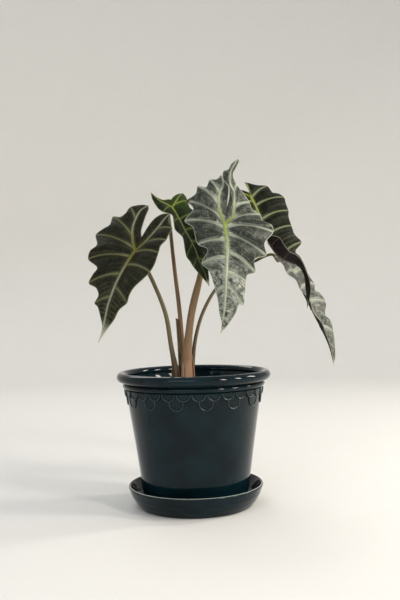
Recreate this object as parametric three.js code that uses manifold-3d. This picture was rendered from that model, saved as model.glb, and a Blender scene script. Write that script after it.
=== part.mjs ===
// Potted alocasia: a glazed pot with a rolled rim on its saucer, potting mix, a corm,
// five leaf stalks with their five blades, and the dry sheath leaf at the stalks' foot.
//
// Millimetres, +Z up. The origin is the middle of the saucer's underside; -Y is the front.

import * as THREE from "three";
import { mergeVertices } from "three/addons/utils/BufferGeometryUtils.js";
import Module from "manifold-3d";

// ---------------------------------------------------------------- driving dimensions

const GAP = 0.3;                 // clearance between pieces that touch
const TURN_STEPS = 60;           // facets round the pot, the saucer and the mix
const CORM_STEPS = 24;

// saucer
const SAUCER_RIM_RADIUS = 78.5;
const SAUCER_HEIGHT = 24.5;
const SAUCER_FOOT_RADIUS = 65;
const SAUCER_FLOOR = 4.7;        // height of the floor that the pot stands on

// pot
const POT_BASE = SAUCER_FLOOR + GAP;
const POT_FOOT_RADIUS = 59.8;
const POT_TAPER = 0.1467;        // outward growth of the wall per millimetre of height
const POT_WALL = 6;
const POT_FLOOR = POT_BASE + 6;
const DRAIN_RADIUS = 9;
const WALL_TOP = 136;            // where the tapered wall meets the moulding
const BEAD_RADIUS = 83.2;
const BEAD_HEIGHT = 140.2;
const RIM_RADIUS = 90;           // outside of the rolled rim
const RIM_HEIGHT = 150;          // middle of the roll
const ROLL_RADIUS = 5.5;

// potting mix and corm
const MIX_TOP = 128;
const MIX_CROWN = 1.2;           // how much higher the mix is in the middle
const CORM_CENTRE = [-10, 4];
const CORM_RADIUS = 19;
const CORM_BOTTOM = 108;
const CROWN_TOP = 133;

// plant
const BLADE_THICKNESS = 1.2;
const BLADE_STEPS = 4;           // facets from the midrib to the margin
const SINUS_STEPS = 6;           // facets along a basal lobe
const STATION_GAP = 2;           // closest spacing of the points along a rib
const VEIN_SWEEP = 0.06;         // veins bow towards the lobes by this part of their length
const BLADE_ARCH = 0.05;         // half blades bulge upwards by this part of their width
const STALK_SIDES = 10;
const STALK_STEPS = 22;
const STALK_GAP = 1;             // from the end of a stalk to the underside of its blade
const SHEATH_THICKNESS = 1;
const SHEATH_TOP = 217;
const SHEATH_REACH = 1.6;        // how far the sheath leaf stands off the stalk it clasps

// -------------------------------------------------------------------------- finishes

const FINISH = {
  glaze: { color: 0x14262b, roughness: 0.12, metalness: 0 },
  mix: { color: 0x2b1f17, roughness: 0.95, metalness: 0 },
  corm: { color: 0x6b4a33, roughness: 0.85, metalness: 0 },
  brownStalk: { color: 0x8f6a4c, roughness: 0.5, metalness: 0 },
  oliveStalk: { color: 0x6e6a2c, roughness: 0.5, metalness: 0 },
  sheath: { color: 0x7a6a3a, roughness: 0.7, metalness: 0 },
  darkBlade: { color: 0x23301c, roughness: 0.4, metalness: 0 },
  silverBlade: { color: 0x55695a, roughness: 0.35, metalness: 0 },
};

const object = new THREE.Group();
const wasm = await Module();
wasm.setup();

/** Adds a named mesh with one of the finishes to a parent group. */
function add(parent, name, geometry, finish) {
  const mesh = new THREE.Mesh(geometry, new THREE.MeshStandardMaterial(FINISH[finish]));
  mesh.name = name;
  parent.add(mesh);
  return mesh;
}

// --------------------------------------------------------------------- shared shapes

/** Merged, indexed copy of a geometry that holds positions only. */
function welded(geometry) {
  const copy = geometry.clone();
  copy.deleteAttribute("normal");
  copy.deleteAttribute("uv");
  return mergeVertices(copy, 1e-4);
}

/** Solid of a closed geometry, for cutting and joining. */
function solid(geometry) {
  const merged = welded(geometry);
  const vertProperties = new Float32Array(merged.getAttribute("position").array);
  const triVerts = new Uint32Array(merged.getIndex().array);
  return new wasm.Manifold(new wasm.Mesh({ numProp: 3, vertProperties, triVerts }));
}

/** Geometry of a solid. */
function geometryOf(manifold) {
  const mesh = manifold.getMesh();
  const geometry = new THREE.BufferGeometry();
  geometry.setAttribute("position", new THREE.BufferAttribute(mesh.vertProperties, 3));
  geometry.setIndex(new THREE.BufferAttribute(mesh.triVerts, 1));
  return geometry;
}

/** Solid of revolution about Z from [radius, height] points, listed from the bottom up the outside. */
function turned(profile, steps = TURN_STEPS) {
  const points = profile.map(([radius, height]) => new THREE.Vector2(radius, height));
  const geometry = new THREE.LatheGeometry(points, steps);
  geometry.rotateX(Math.PI / 2);
  return welded(geometry);
}

/** Points of an arc in a profile, angles in degrees from the outward direction. */
function arc(radius, height, size, from, to, steps) {
  const points = [];
  for (let i = 0; i <= steps; i += 1) {
    const angle = THREE.MathUtils.degToRad(from + ((to - from) * i) / steps);
    points.push([radius + size * Math.cos(angle), height + size * Math.sin(angle)]);
  }
  return points;
}

/** Surface made of grids of points; equal points are shared and empty triangles dropped. */
class Surface {
  constructor() {
    this.points = [];
    this.triangles = [];
    this.index = new Map();
  }

  vertex(point) {
    const key = point.toArray().map((value) => Math.round(value * 50)).join();
    if (!this.index.has(key)) {
      this.index.set(key, this.points.length);
      this.points.push(point);
    }
    return this.index.get(key);
  }

  triangle(a, b, c, flip) {
    if (a !== b && b !== c && a !== c) {
      this.triangles.push(flip ? [a, c, b] : [a, b, c]);
    }
  }

  /** Adds a grid given as columns of points; `flip` turns its front side round. */
  grid(columns, flip) {
    const ids = columns.map((column) => column.map((point) => this.vertex(point)));
    for (let i = 0; i + 1 < ids.length; i += 1) {
      for (let j = 0; j + 1 < ids[i].length; j += 1) {
        this.triangle(ids[i][j], ids[i + 1][j], ids[i + 1][j + 1], flip);
        this.triangle(ids[i][j], ids[i + 1][j + 1], ids[i][j + 1], flip);
      }
    }
  }

  /** Fills the band between two lines of { root, point }, whose roots fall together. */
  zip(first, second, flip) {
    const a = first.map(({ point }) => this.vertex(point));
    const b = second.map(({ point }) => this.vertex(point));
    let i = 0;
    let j = 0;
    while (i + 1 < a.length || j + 1 < b.length) {
      const alongFirst = j + 1 === b.length
        || (i + 1 < a.length && first[i + 1].root >= second[j + 1].root);
      if (alongFirst) {
        this.triangle(a[i], a[i + 1], b[j], flip);
        i += 1;
      } else {
        this.triangle(a[i], b[j + 1], b[j], flip);
        j += 1;
      }
    }
  }

  normals() {
    const normals = this.points.map(() => new THREE.Vector3());
    for (const [a, b, c] of this.triangles) {
      const ab = this.points[b].clone().sub(this.points[a]);
      const ac = this.points[c].clone().sub(this.points[a]);
      const area = ab.cross(ac);
      for (const corner of [a, b, c]) {
        normals[corner].add(area);
      }
    }
    return normals.map((normal) => normal.normalize());
  }

  /** Closed plate that has this surface halfway through its thickness. */
  thicken(thickness) {
    const normals = this.normals();
    const count = this.points.length;
    const positions = [];
    for (const side of [0.5, -0.5]) {
      this.points.forEach((point, i) => {
        positions.push(...point.clone().addScaledVector(normals[i], side * thickness).toArray());
      });
    }
    const index = [];
    const open = new Map();
    for (const [a, b, c] of this.triangles) {
      index.push(a, b, c, a + count, c + count, b + count);
      for (const [from, to] of [[a, b], [b, c], [c, a]]) {
        if (!open.delete(`${to},${from}`)) {
          open.set(`${from},${to}`, [from, to]);
        }
      }
    }
    for (const [from, to] of open.values()) {
      index.push(from, from + count, to + count, from, to + count, to);
    }
    const geometry = new THREE.BufferGeometry();
    geometry.setAttribute("position", new THREE.Float32BufferAttribute(positions, 3));
    geometry.setIndex(index);
    return geometry;
  }
}

// ------------------------------------------------------------------- saucer and pot

function saucerGeometry() {
  const rim = arc(SAUCER_RIM_RADIUS - 1.5, SAUCER_HEIGHT - 1.5, 1.5, -20, 160, 4);
  return turned([
    [0, 0],
    [SAUCER_FOOT_RADIUS, 0],
    [SAUCER_FOOT_RADIUS + 2, 1],
    [71.5, 7],
    [75.4, 14],
    ...rim,
    [73, 17],
    [70, 10.5],
    [66.5, 6.2],
    [62.5, SAUCER_FLOOR],
    [0, SAUCER_FLOOR],
  ]);
}

/** Outer radius of the tapered wall at a height. */
function wallRadius(height) {
  return POT_FOOT_RADIUS + POT_TAPER * (height - POT_BASE);
}

function potGeometry() {
  const bead = arc(BEAD_RADIUS - 3, BEAD_HEIGHT, 3, -70, 60, 4);
  const roll = arc(RIM_RADIUS - ROLL_RADIUS, RIM_HEIGHT, ROLL_RADIUS, -110, 205, 9);
  const profile = [
    [DRAIN_RADIUS, POT_BASE],
    [POT_FOOT_RADIUS - 1.5, POT_BASE],
    [wallRadius(POT_BASE + 1.5), POT_BASE + 1.5],
    [wallRadius(70), 70],
    [wallRadius(WALL_TOP), WALL_TOP],
    ...bead,
    ...roll,
    [wallRadius(WALL_TOP) - POT_WALL + 1, WALL_TOP + 4],
    [wallRadius(WALL_TOP) - POT_WALL, WALL_TOP],
    [wallRadius(POT_FLOOR) - POT_WALL, POT_FLOOR + 2],
    [wallRadius(POT_FLOOR) - POT_WALL - 2, POT_FLOOR],
    [DRAIN_RADIUS, POT_FLOOR],
  ];
  return turned([...profile, profile[0]]);
}

// ------------------------------------------------------------- potting mix and corm

/** Corm: a squat bulb with a flat crown; `grow` enlarges it all round. */
function cormGeometry(grow) {
  const middle = (CORM_BOTTOM + CROWN_TOP) / 2 + 3;
  const geometry = turned([
    [0, CORM_BOTTOM - grow],
    [9 + grow, CORM_BOTTOM + 1.5 - grow],
    [CORM_RADIUS - 3 + grow, middle - 8],
    [CORM_RADIUS + grow, middle],
    [CORM_RADIUS - 0.5 + grow, CROWN_TOP - 2],
    [CORM_RADIUS - 2 + grow, CROWN_TOP + grow],
    [0, CROWN_TOP + grow],
  ], CORM_STEPS);
  geometry.translate(...CORM_CENTRE, 0);
  return geometry;
}

function mixGeometry() {
  const clearance = POT_WALL + 0.4;
  const body = turned([
    [0, POT_FLOOR + GAP],
    [wallRadius(POT_FLOOR) - clearance - 3, POT_FLOOR + GAP],
    [wallRadius(POT_FLOOR) - clearance, POT_FLOOR + 3.5],
    [wallRadius(MIX_TOP) - clearance, MIX_TOP],
    [40, MIX_TOP + MIX_CROWN],
    [0, MIX_TOP + MIX_CROWN],
  ]);
  const socket = solid(cormGeometry(GAP));
  return geometryOf(solid(body).subtract(socket));
}

// -------------------------------------------------------------------------- blades
//
// A blade is drawn in its own frame: x to the right seen from its upper side with the tip
// down, y from the stalk's junction towards the basal lobes, z out of the upper side.
// Its skeleton is the midrib, a rib into each basal lobe, and the side veins. An outline
// entry is the end of a vein, which leaves the rib at a distance from the junction (positive
// along the midrib, negative along the lobe's rib), or a point between two veins.

/** Outline entry at the end of a side vein. */
function vein(root, x, y, z) {
  return { root, at: new THREE.Vector3(x, y, z) };
}

/** Outline entry between two veins. */
function edge(x, y, z) {
  return { root: null, at: new THREE.Vector3(x, y, z) };
}

function curveThrough(points) {
  return new THREE.CatmullRomCurve3(points.map((point) => new THREE.Vector3(...point)));
}

/** Point of a curve at a distance from its start. */
function pointAlong(curve, distance) {
  return curve.getPointAt(THREE.MathUtils.clamp(distance / curve.getLength(), 0, 1));
}

/** Fills in the rib distance of the entries that lie between veins. */
function rooted(entries) {
  return entries.map((entry, i) => {
    if (entry.root !== null) {
      return entry;
    }
    let before = i;
    let after = i;
    while (entries[before].root === null) {
      before -= 1;
    }
    while (entries[after].root === null) {
      after += 1;
    }
    const share = (i - before) / (after - before);
    const root = THREE.MathUtils.lerp(entries[before].root, entries[after].root, share);
    return { root, at: entry.at };
  });
}

/** Points from a rib to the margin along a vein, bowed towards the lobes and upwards. */
function veinLine(start, end, steps, sweep) {
  const length = start.distanceTo(end);
  const line = [];
  for (let i = 0; i <= steps; i += 1) {
    const t = i / steps;
    const bow = 4 * t * (1 - t) * length;
    const point = start.clone().lerp(end, t);
    point.y += bow * sweep;
    point.z += bow * BLADE_ARCH;
    line.push(point);
  }
  return line;
}

/** Stations of a rib at falling distances, at least `STATION_GAP` apart, ends included. */
function stations(roots, ribPoint) {
  const falling = [...roots].sort((a, b) => b - a);
  const last = falling.at(-1);
  const kept = [falling[0]];
  for (const root of falling) {
    if (kept.at(-1) - root >= STATION_GAP && root - last >= STATION_GAP) {
      kept.push(root);
    }
  }
  return [...kept, last].map((root) => ({ root, point: ribPoint(root) }));
}

/** Skeleton of one half of a blade: its lobe's rib and its columns of points. */
function halfBlade(leaf, half, midrib) {
  const lobe = curveThrough(half.lobe);
  const lobeLength = lobe.getLength();
  const ribPoint = (root) => (root >= 0 ? pointAlong(midrib, root) : pointAlong(lobe, -root));
  const outline = rooted([
    { root: midrib.getLength(), at: midrib.getPoint(1) },
    ...half.outline,
    { root: -lobeLength, at: lobe.getPoint(1) },
  ]);
  const outer = outline.map(({ root, at }) => {
    return { root, line: veinLine(ribPoint(root), at, BLADE_STEPS, VEIN_SWEEP) };
  });
  const sinus = curveThrough([leaf.sinus, ...half.sinusEdge, half.lobe.at(-1)]);
  const inner = [];
  for (let i = 0; i <= SINUS_STEPS; i += 1) {
    const u = i / SINUS_STEPS;
    inner.push({ root: -u * lobeLength, line: veinLine(lobe.getPointAt(u), sinus.getPointAt(u), 2, 0) });
  }
  return { ribPoint, outer, inner };
}

/** Fills one ribbon of a blade, from the stations of its rib out to the margin. */
function addRibbon(surface, ribLine, columns, flip) {
  surface.grid(columns.map(({ line }) => line.slice(1)), flip);
  surface.zip(ribLine, columns.map(({ root, line }) => ({ root, point: line[1] })), flip);
}

function bladeGeometry(leaf) {
  const surface = new Surface();
  const midrib = curveThrough(leaf.midrib);
  const halves = [leaf.left, leaf.right].map((half) => halfBlade(leaf, half, midrib));
  const midribRoots = halves.flatMap(({ outer }) => outer.map(({ root }) => root));
  const midribLine = stations([...midribRoots.filter((root) => root > 0), 0], halves[0].ribPoint);

  halves.forEach(({ ribPoint, outer, inner }, i) => {
    const isRight = i === 1;
    const lobeRoots = [...outer, ...inner].map(({ root }) => root);
    const lobeLine = stations(lobeRoots.filter((root) => root <= 0), ribPoint);
    addRibbon(surface, [...midribLine, ...lobeLine.slice(1)], outer, isRight);
    addRibbon(surface, lobeLine, inner, !isRight);
  });
  return surface.thicken(BLADE_THICKNESS);
}

const LEAVES = [
  {
    name: "left",
    finish: "darkBlade",
    junction: [-63, -22, 295],
    droop: 65,
    roll: 37,
    heading: -61,
    midrib: [[0, 0, 0], [-3, -14, 1], [-6, -41, 2], [-6, -68, 1], [-4, -89, -2], [-5, -112, -8]],
    sinus: [1, 18, 1],
    left: {
      lobe: [[0, 0, 0], [-9, 12, 0], [-16, 27, -1], [-18, 40, -3], [-18, 52, -6], [-13, 61, -9]],
      sinusEdge: [[-3, 25, 0], [-5, 34, -1], [-7, 46, -3], [-9, 56, -6]],
      outline: [
        edge(-6, -95, -5), edge(-12, -84, -2), edge(-18, -75, 1), vein(60, -26, -71, -2),
        edge(-22, -62, 3), edge(-28, -55, 3), vein(31, -44, -50, -2), edge(-40, -40, 3),
        edge(-37, -32, 4), vein(8, -58, -22, -2), edge(-57, -13, 2), edge(-50, -5, 4),
        vein(-3, -61, 9, -2), edge(-53, 17, 1), edge(-45, 23, 3), vein(-20, -49, 36, -3),
        edge(-38, 37, -1), edge(-32, 42, 1), vein(-43, -33, 53, -5), edge(-21, 60, -8),
      ],
    },
    right: {
      lobe: [[0, 0, 0], [6, 8, 1], [12, 19, 2], [19, 33, 4], [23, 45, 4], [26, 52, 3]],
      sinusEdge: [[6, 33, 4], [11, 43, 5], [19, 50, 5]],
      outline: [
        edge(2, -96, -3), edge(9, -84, 2), edge(13, -72, 6), vein(48, 20, -63, 8),
        edge(21, -55, 11), edge(24, -45, 13), edge(31, -34, 14), vein(19, 35, -23, 12),
        edge(38, -14, 14), vein(2, 36, 1, 12), edge(36, 9, 13), vein(-13, 38, 18, 10),
        edge(39, 24, 11), vein(-36, 38, 34, 7), edge(31, 41, 7),
      ],
    },
  },
  {
    name: "inner",
    finish: "darkBlade",
    junction: [-21, 8, 348],
    droop: 62,
    roll: -20,
    heading: 54,
    midrib: [[0, 0, 0], [1, -15, 1], [1, -33, 2], [2, -56, 3], [1, -78, 2], [2, -94, 0], [4, -106, -4]],
    sinus: [4, 11, 0],
    left: {
      lobe: [[0, 0, 0], [-4, 4, 0], [-11, 11, -1], [-15, 19, -2], [-16, 26, -4]],
      sinusEdge: [[1, 12, 0], [-7, 12, 0], [-13, 17, -1]],
      outline: [
        edge(-2, -99, 0), edge(-9, -93, 5), vein(70, -15, -84, 8), edge(-17, -77, 9),
        vein(53, -17, -70, 7), edge(-17, -61, 10), edge(-15, -53, 11), vein(36, -12, -44, 9),
        edge(-16, -39, 10), edge(-17, -34, 9), vein(16, -13, -24, 7), edge(-9, -12, 5),
        vein(-3, -17, -6, 3), edge(-20, 0, 1), edge(-20, 16, -2),
      ],
    },
    right: {
      lobe: [[0, 0, 0], [5, 4, 1], [11, 9, 1], [19, 15, 0], [27, 19, -2]],
      sinusEdge: [[8, 14, 0], [12, 16, 0], [19, 18, 0]],
      outline: [
        edge(5, -99, 0), edge(8, -89, 2), vein(73, 16, -79, 1), edge(16, -69, 4),
        vein(49, 24, -59, 2), edge(20, -50, 5), vein(33, 30, -37, 3), edge(23, -27, 6),
        vein(18, 28, -14, 4), edge(22, -5, 4), vein(-4, 25, 5, 2), edge(27, 13, 0),
      ],
    },
  },
  {
    name: "front",
    finish: "silverBlade",
    junction: [39, -42, 322],
    droop: 80,
    roll: 0,
    heading: 0,
    midrib: [[0, 0, 0], [2, -21, 1], [1, -45, 2], [-1, -70, 1], [-3, -95, -3], [-8, -122, -12]],
    sinus: [3, 20, -2],
    left: {
      lobe: [[0, 0, 0], [-5, 14, 0], [-6, 30, -2], [-4, 39, -4], [0, 49, -8], [-2, 63, -14]],
      sinusEdge: [[5, 33, -4], [6, 45, -8], [3, 55, -10]],
      outline: [
        edge(-6, -114, -10), edge(-9, -99, -8), edge(-10, -88, -4), vein(72, -12, -77, -6),
        edge(-17, -59, -2), edge(-20, -51, -5), vein(40, -27, -43, -8), edge(-20, -29, -2),
        vein(19, -31, -21, -7), edge(-36, -3, -3), vein(4, -45, 7, -9), edge(-35, 19, -3),
        vein(-8, -42, 31, -10), edge(-32, 37, -4), vein(-26, -29, 48, -9), edge(-20, 45, -5),
        vein(-39, -15, 56, -11), edge(-7, 56, -10),
      ],
    },
    right: {
      lobe: [
        [0, 0, 0], [9, 7, 0], [11, 21, -1], [12, 38, -2], [8, 46, -1], [8, 58, 2], [11, 65, 5],
        [17, 73, 10],
      ],
      sinusEdge: [[6, 32, -2], [6, 43, 0], [0, 52, -1], [0, 61, 2], [6, 63, 3], [9, 68, 6]],
      outline: [
        edge(-4, -118, -11), edge(2, -111, -9), edge(9, -101, -7), edge(13, -92, -4),
        vein(67, 18, -92, -9), edge(20, -80, -5), vein(56, 22, -64, -9), edge(23, -59, -4),
        vein(32, 33, -54, -10), edge(32, -41, -4), vein(11, 46, -35, -10), edge(44, -23, -4),
        vein(3, 55, -8, -9), edge(53, -1, -6), edge(43, 3, -3), vein(-9, 41, 12, -8),
        edge(32, 16, -3), vein(-24, 29, 27, -8), edge(20, 40, -4), vein(-42, 15, 47, -3),
        edge(11, 59, -2), edge(14, 64, 2), edge(18, 71, 7),
      ],
    },
  },
  {
    name: "back",
    finish: "darkBlade",
    junction: [74, 18, 360],
    droop: 65,
    roll: -48,
    heading: 75,
    midrib: [
      [0, 0, 0], [-1, -15, 1], [-3, -30, 2], [-7, -51, 2], [-5, -76, 1], [5, -88, 0], [19, -98, -2],
      [23, -110, -5], [20, -126, -10], [14, -149, -18],
    ],
    sinus: [1, 6, 0],
    left: {
      lobe: [[0, 0, 0], [-6, 8, -3], [-11, 14, -8], [-16, 17, -14]],
      sinusEdge: [[-1, 10, -3], [-5, 15, -7], [-11, 19, -11]],
      outline: [
        edge(18, -139, -9), edge(21, -130, -3), edge(21, -120, 2), vein(110, 20, -108, 6),
        edge(19, -97, 9), edge(13, -87, 12), vein(88, 5, -81, 14), edge(1, -72, 16),
        vein(66, 0, -61, 15), edge(-10, -56, 17), vein(43, -19, -48, 15), edge(-27, -37, 14),
        vein(20, -32, -24, 10), edge(-27, -12, 6), vein(6, -31, -4, 0), edge(-24, 7, -8),
      ],
    },
    right: {
      lobe: [[0, 0, 0], [1, 7, 0], [5, 17, -3], [7, 23, -9]],
      sinusEdge: [[2, 12, -1], [4, 18, -4]],
      outline: [
        edge(18, -138, -13), edge(24, -124, -7), edge(27, -111, -3), vein(102, 27, -98, -1),
        edge(25, -89, 1), edge(22, -82, 1), vein(82, 39, -73, -2), edge(32, -61, 2),
        vein(52, 36, -50, -1), edge(35, -39, 3), vein(31, 43, -31, -2), edge(42, -22, 1),
        vein(12, 47, -13, -3), edge(41, -7, -1), edge(34, -3, -2), vein(1, 34, 8, -6),
        edge(20, 13, -5), edge(12, 19, -7),
      ],
    },
  },
  {
    name: "right",
    finish: "darkBlade",
    junction: [116, 50, 288],
    droop: 65,
    roll: -15,
    heading: 83,
    midrib: [
      [0, 0, 0], [0, -14, 1], [1, -35, 2], [4, -57, 1], [8, -82, 0], [13, -106, -1],
      [17, -124, -3], [19, -137, -6], [19, -149, -9],
    ],
    sinus: [1, 9, 0],
    left: {
      lobe: [[0, 0, 0], [-7, 12, 0], [-12, 24, -3], [-13, 34, -8]],
      sinusEdge: [[-3, 17, -1], [-8, 27, -4]],
      outline: [
        edge(15, -138, -5), edge(9, -124, 0), vein(102, 1, -108, 4), edge(-1, -94, 6),
        vein(72, -11, -76, 5), edge(-13, -60, 8), vein(44, -24, -44, 6), edge(-23, -32, 6),
        vein(20, -31, -20, 2), edge(-26, -8, 1), vein(3, -31, 4, -2), edge(-22, 12, 0),
        vein(-16, -25, 21, -4), edge(-18, 29, -5),
      ],
    },
    right: {
      lobe: [[0, 0, 0], [8, 11, 0], [14, 23, -2], [18, 34, -6]],
      sinusEdge: [[6, 18, 0], [13, 29, -3]],
      outline: [
        edge(24, -138, -3), edge(29, -127, 1), vein(98, 38, -112, 5), edge(36, -98, 9),
        edge(31, -88, 7), vein(62, 46, -73, 12), edge(43, -62, 12), edge(33, -54, 9),
        vein(42, 43, -46, 10), edge(34, -36, 11), vein(22, 39, -25, 9), edge(31, -14, 7),
        vein(4, 34, -3, 5), edge(27, 7, 3),
        vein(-16, 28, 18, 0), edge(23, 28, -3),
      ],
    },
  },
];

/** Turn of a blade: tilt of its tip below the horizontal, then its twist and compass heading. */
function bladeTurn({ droop, roll, heading }) {
  const [x, y, z] = [droop, roll, heading].map(THREE.MathUtils.degToRad);
  return new THREE.Euler(x, y, z, "ZXY");
}

// -------------------------------------------------------------------------- stalks
//
// Each stalk's route goes from the crown of the corm to the underside of its blade. The radius
// runs from the foot, over the sheathing first third, to the thin top.

const STALKS = {
  left: {
    finish: "oliveStalk",
    radii: [4, 2.8, 2.2],
    route: [[-21, -1, 133.5], [-20.5, -1, 150], [-25.5, -1, 185], [-31, 0, 222], [-44, 0, 258]],
  },
  inner: {
    finish: "brownStalk",
    radii: [3.2, 2.7, 2.1],
    route: [[-12, 8, 133.5], [-11.5, 8, 156], [-14, 9, 215], [-20, 11, 280], [-23.5, 14, 322]],
  },
  front: {
    finish: "brownStalk",
    radii: [7.4, 4.4, 2.9],
    route: [
      [-7.5, -4, 133.5], [-7.5, -4, 150], [-5.8, -3, 185], [-0.8, -2, 220], [6.8, 1, 250],
      [14.5, 7, 278], [27, 9, 302],
    ],
  },
  back: {
    finish: "oliveStalk",
    radii: [3, 2.6, 2.2],
    route: [
      [-8, 16, 133.5], [-8, 17, 150], [-6, 17, 200], [3, 20, 245], [20, 32, 290], [48, 46, 330],
    ],
  },
  right: {
    finish: "oliveStalk",
    radii: [2.8, 2.2, 1.8],
    route: [
      [0, 9, 133.5], [-1, 9, 152], [3, 12, 190], [14, 18, 225], [36, 30, 258], [78, 46, 284],
      [103, 58, 293],
    ],
  },
};

/** Radius of a stalk at a part of its length, from its foot, lower-third and top radii. */
function stalkRadius([foot, middle, top], u) {
  const bend = 1 / 3;
  if (u < bend) {
    return THREE.MathUtils.lerp(foot, middle, THREE.MathUtils.smoothstep(u, 0, bend));
  }
  return THREE.MathUtils.lerp(middle, top, (u - bend) / (1 - bend));
}

/** Route of a stalk up to its blade, which it meets square on to the underside. */
function stalkCurve(stalk, leaf) {
  const upper = new THREE.Vector3(0, 0, 1).applyEuler(bladeTurn(leaf));
  const junction = new THREE.Vector3(...leaf.junction);
  const end = junction.clone().addScaledVector(upper, -STALK_GAP - BLADE_THICKNESS / 2);
  const approach = end.clone().addScaledVector(upper, -7);
  return curveThrough([...stalk.route, approach.toArray(), end.toArray()]);
}

/** Tapered tube along a curve. */
function stalkGeometry(curve, radii) {
  const section = new THREE.Shape();
  section.absarc(0, 0, 1, 0, 2 * Math.PI);
  const tube = welded(new THREE.ExtrudeGeometry(section, {
    steps: STALK_STEPS,
    curveSegments: STALK_SIDES / 2,
    extrudePath: curve,
  }));
  const centres = [];
  for (let i = 0; i <= STALK_STEPS; i += 1) {
    centres.push(curve.getPointAt(i / STALK_STEPS));
  }
  const position = tube.getAttribute("position");
  const point = new THREE.Vector3();
  for (let i = 0; i < position.count; i += 1) {
    point.fromBufferAttribute(position, i);
    const distances = centres.map((centre) => centre.distanceTo(point));
    const ring = distances.indexOf(Math.min(...distances));
    const radius = stalkRadius(radii, ring / STALK_STEPS);
    point.sub(centres[ring]).multiplyScalar(radius).add(centres[ring]);
    position.setXYZ(i, point.x, point.y, point.z);
  }
  return tube;
}

/** Dry sheath leaf: a gutter that clasps a stalk on its left side and tapers to a point. */
function sheathGeometry(stalk, curve) {
  const surface = new Surface();
  const length = curve.getLength();
  const steps = 14;
  const columns = [];
  for (let i = 0; i <= steps; i += 1) {
    const rise = i / steps;
    const u = (rise * (SHEATH_TOP - stalk.route[0][2])) / length;
    const centre = curve.getPointAt(u);
    const radius = stalkRadius(stalk.radii, u) + SHEATH_REACH * THREE.MathUtils.smoothstep(rise, 0, 0.3)
      + 2 * GAP + SHEATH_THICKNESS / 2;
    const halfWidth = 75 * Math.sqrt(Math.max(0, 1 - rise ** 4)) + 4;
    const column = [];
    for (let j = 0; j <= 6; j += 1) {
      const angle = THREE.MathUtils.degToRad(170 + halfWidth * (j / 3 - 1));
      column.push(new THREE.Vector3(radius * Math.cos(angle), radius * Math.sin(angle), 0).add(centre));
    }
    columns.push(column);
  }
  surface.grid(columns, false);
  return surface.thicken(SHEATH_THICKNESS);
}

// ------------------------------------------------------------------------- assembly

add(object, "saucer", saucerGeometry(), "glaze");
add(object, "pot", potGeometry(), "glaze");
add(object, "potting_mix", mixGeometry(), "mix");
add(object, "corm", cormGeometry(0), "corm");

for (const leaf of LEAVES) {
  const stalk = STALKS[leaf.name];
  const curve = stalkCurve(stalk, leaf);
  add(object, `petiole_${leaf.name}`, stalkGeometry(curve, stalk.radii), stalk.finish);
  if (leaf.name === "inner") {
    add(object, "sheath_leaf", sheathGeometry(stalk, curve), "sheath");
  }

  const blade = add(object, `blade_${leaf.name}`, bladeGeometry(leaf), leaf.finish);
  blade.position.set(...leaf.junction);
  blade.rotation.copy(bladeTurn(leaf));
}

export default object;
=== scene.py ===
"""Looks of a potted alocasia: glazed pot and saucer, potting mix, corm, leaf stalks and blades.

Sizes are in millimetres and become metres when a mesh is made; only the lights and the camera
are placed in metres. +Z is up, -Y is the front, and the origin is the middle of the saucer's
underside.
"""

import logging
import math
from dataclasses import dataclass, field
from enum import Enum
from typing import Callable, Iterable, Optional, Sequence, Union

import bmesh
import bpy
import numpy as np
from mathutils import Matrix, Vector, noise


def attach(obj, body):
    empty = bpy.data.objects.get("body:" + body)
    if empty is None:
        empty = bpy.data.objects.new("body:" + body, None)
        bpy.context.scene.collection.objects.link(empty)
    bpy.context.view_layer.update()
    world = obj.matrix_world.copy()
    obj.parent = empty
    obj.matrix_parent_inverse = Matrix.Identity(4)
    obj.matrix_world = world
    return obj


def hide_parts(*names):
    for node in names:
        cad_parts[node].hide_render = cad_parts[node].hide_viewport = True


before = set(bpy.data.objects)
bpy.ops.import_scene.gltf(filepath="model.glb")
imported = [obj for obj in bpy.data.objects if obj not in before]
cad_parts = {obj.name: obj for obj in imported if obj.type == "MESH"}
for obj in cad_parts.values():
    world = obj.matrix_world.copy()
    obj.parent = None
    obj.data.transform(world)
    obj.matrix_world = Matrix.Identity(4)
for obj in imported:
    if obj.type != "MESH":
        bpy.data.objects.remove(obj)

LOG = logging.getLogger("potted_alocasia")
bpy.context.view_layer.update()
BODY = "root"
MM = 0.001
WELD = 0.004  # millimetres below which two points of a surface are one
LEAF_SIDE = 0.3  # millimetres from the middle of a wing or of the sheath to either side
EVEN_RADIUS = 20.0  # millimetres from the axis within which a turned piece stays even
WOBBLE_TURN = 1.7  # size of the bumps of a hand-made wall, round it
WOBBLE_RISE = 45.0  # size of the same bumps up the wall, in millimetres

Point = Sequence[float]
Array = np.ndarray


# ------------------------------------------------------------------------ shader maths


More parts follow.
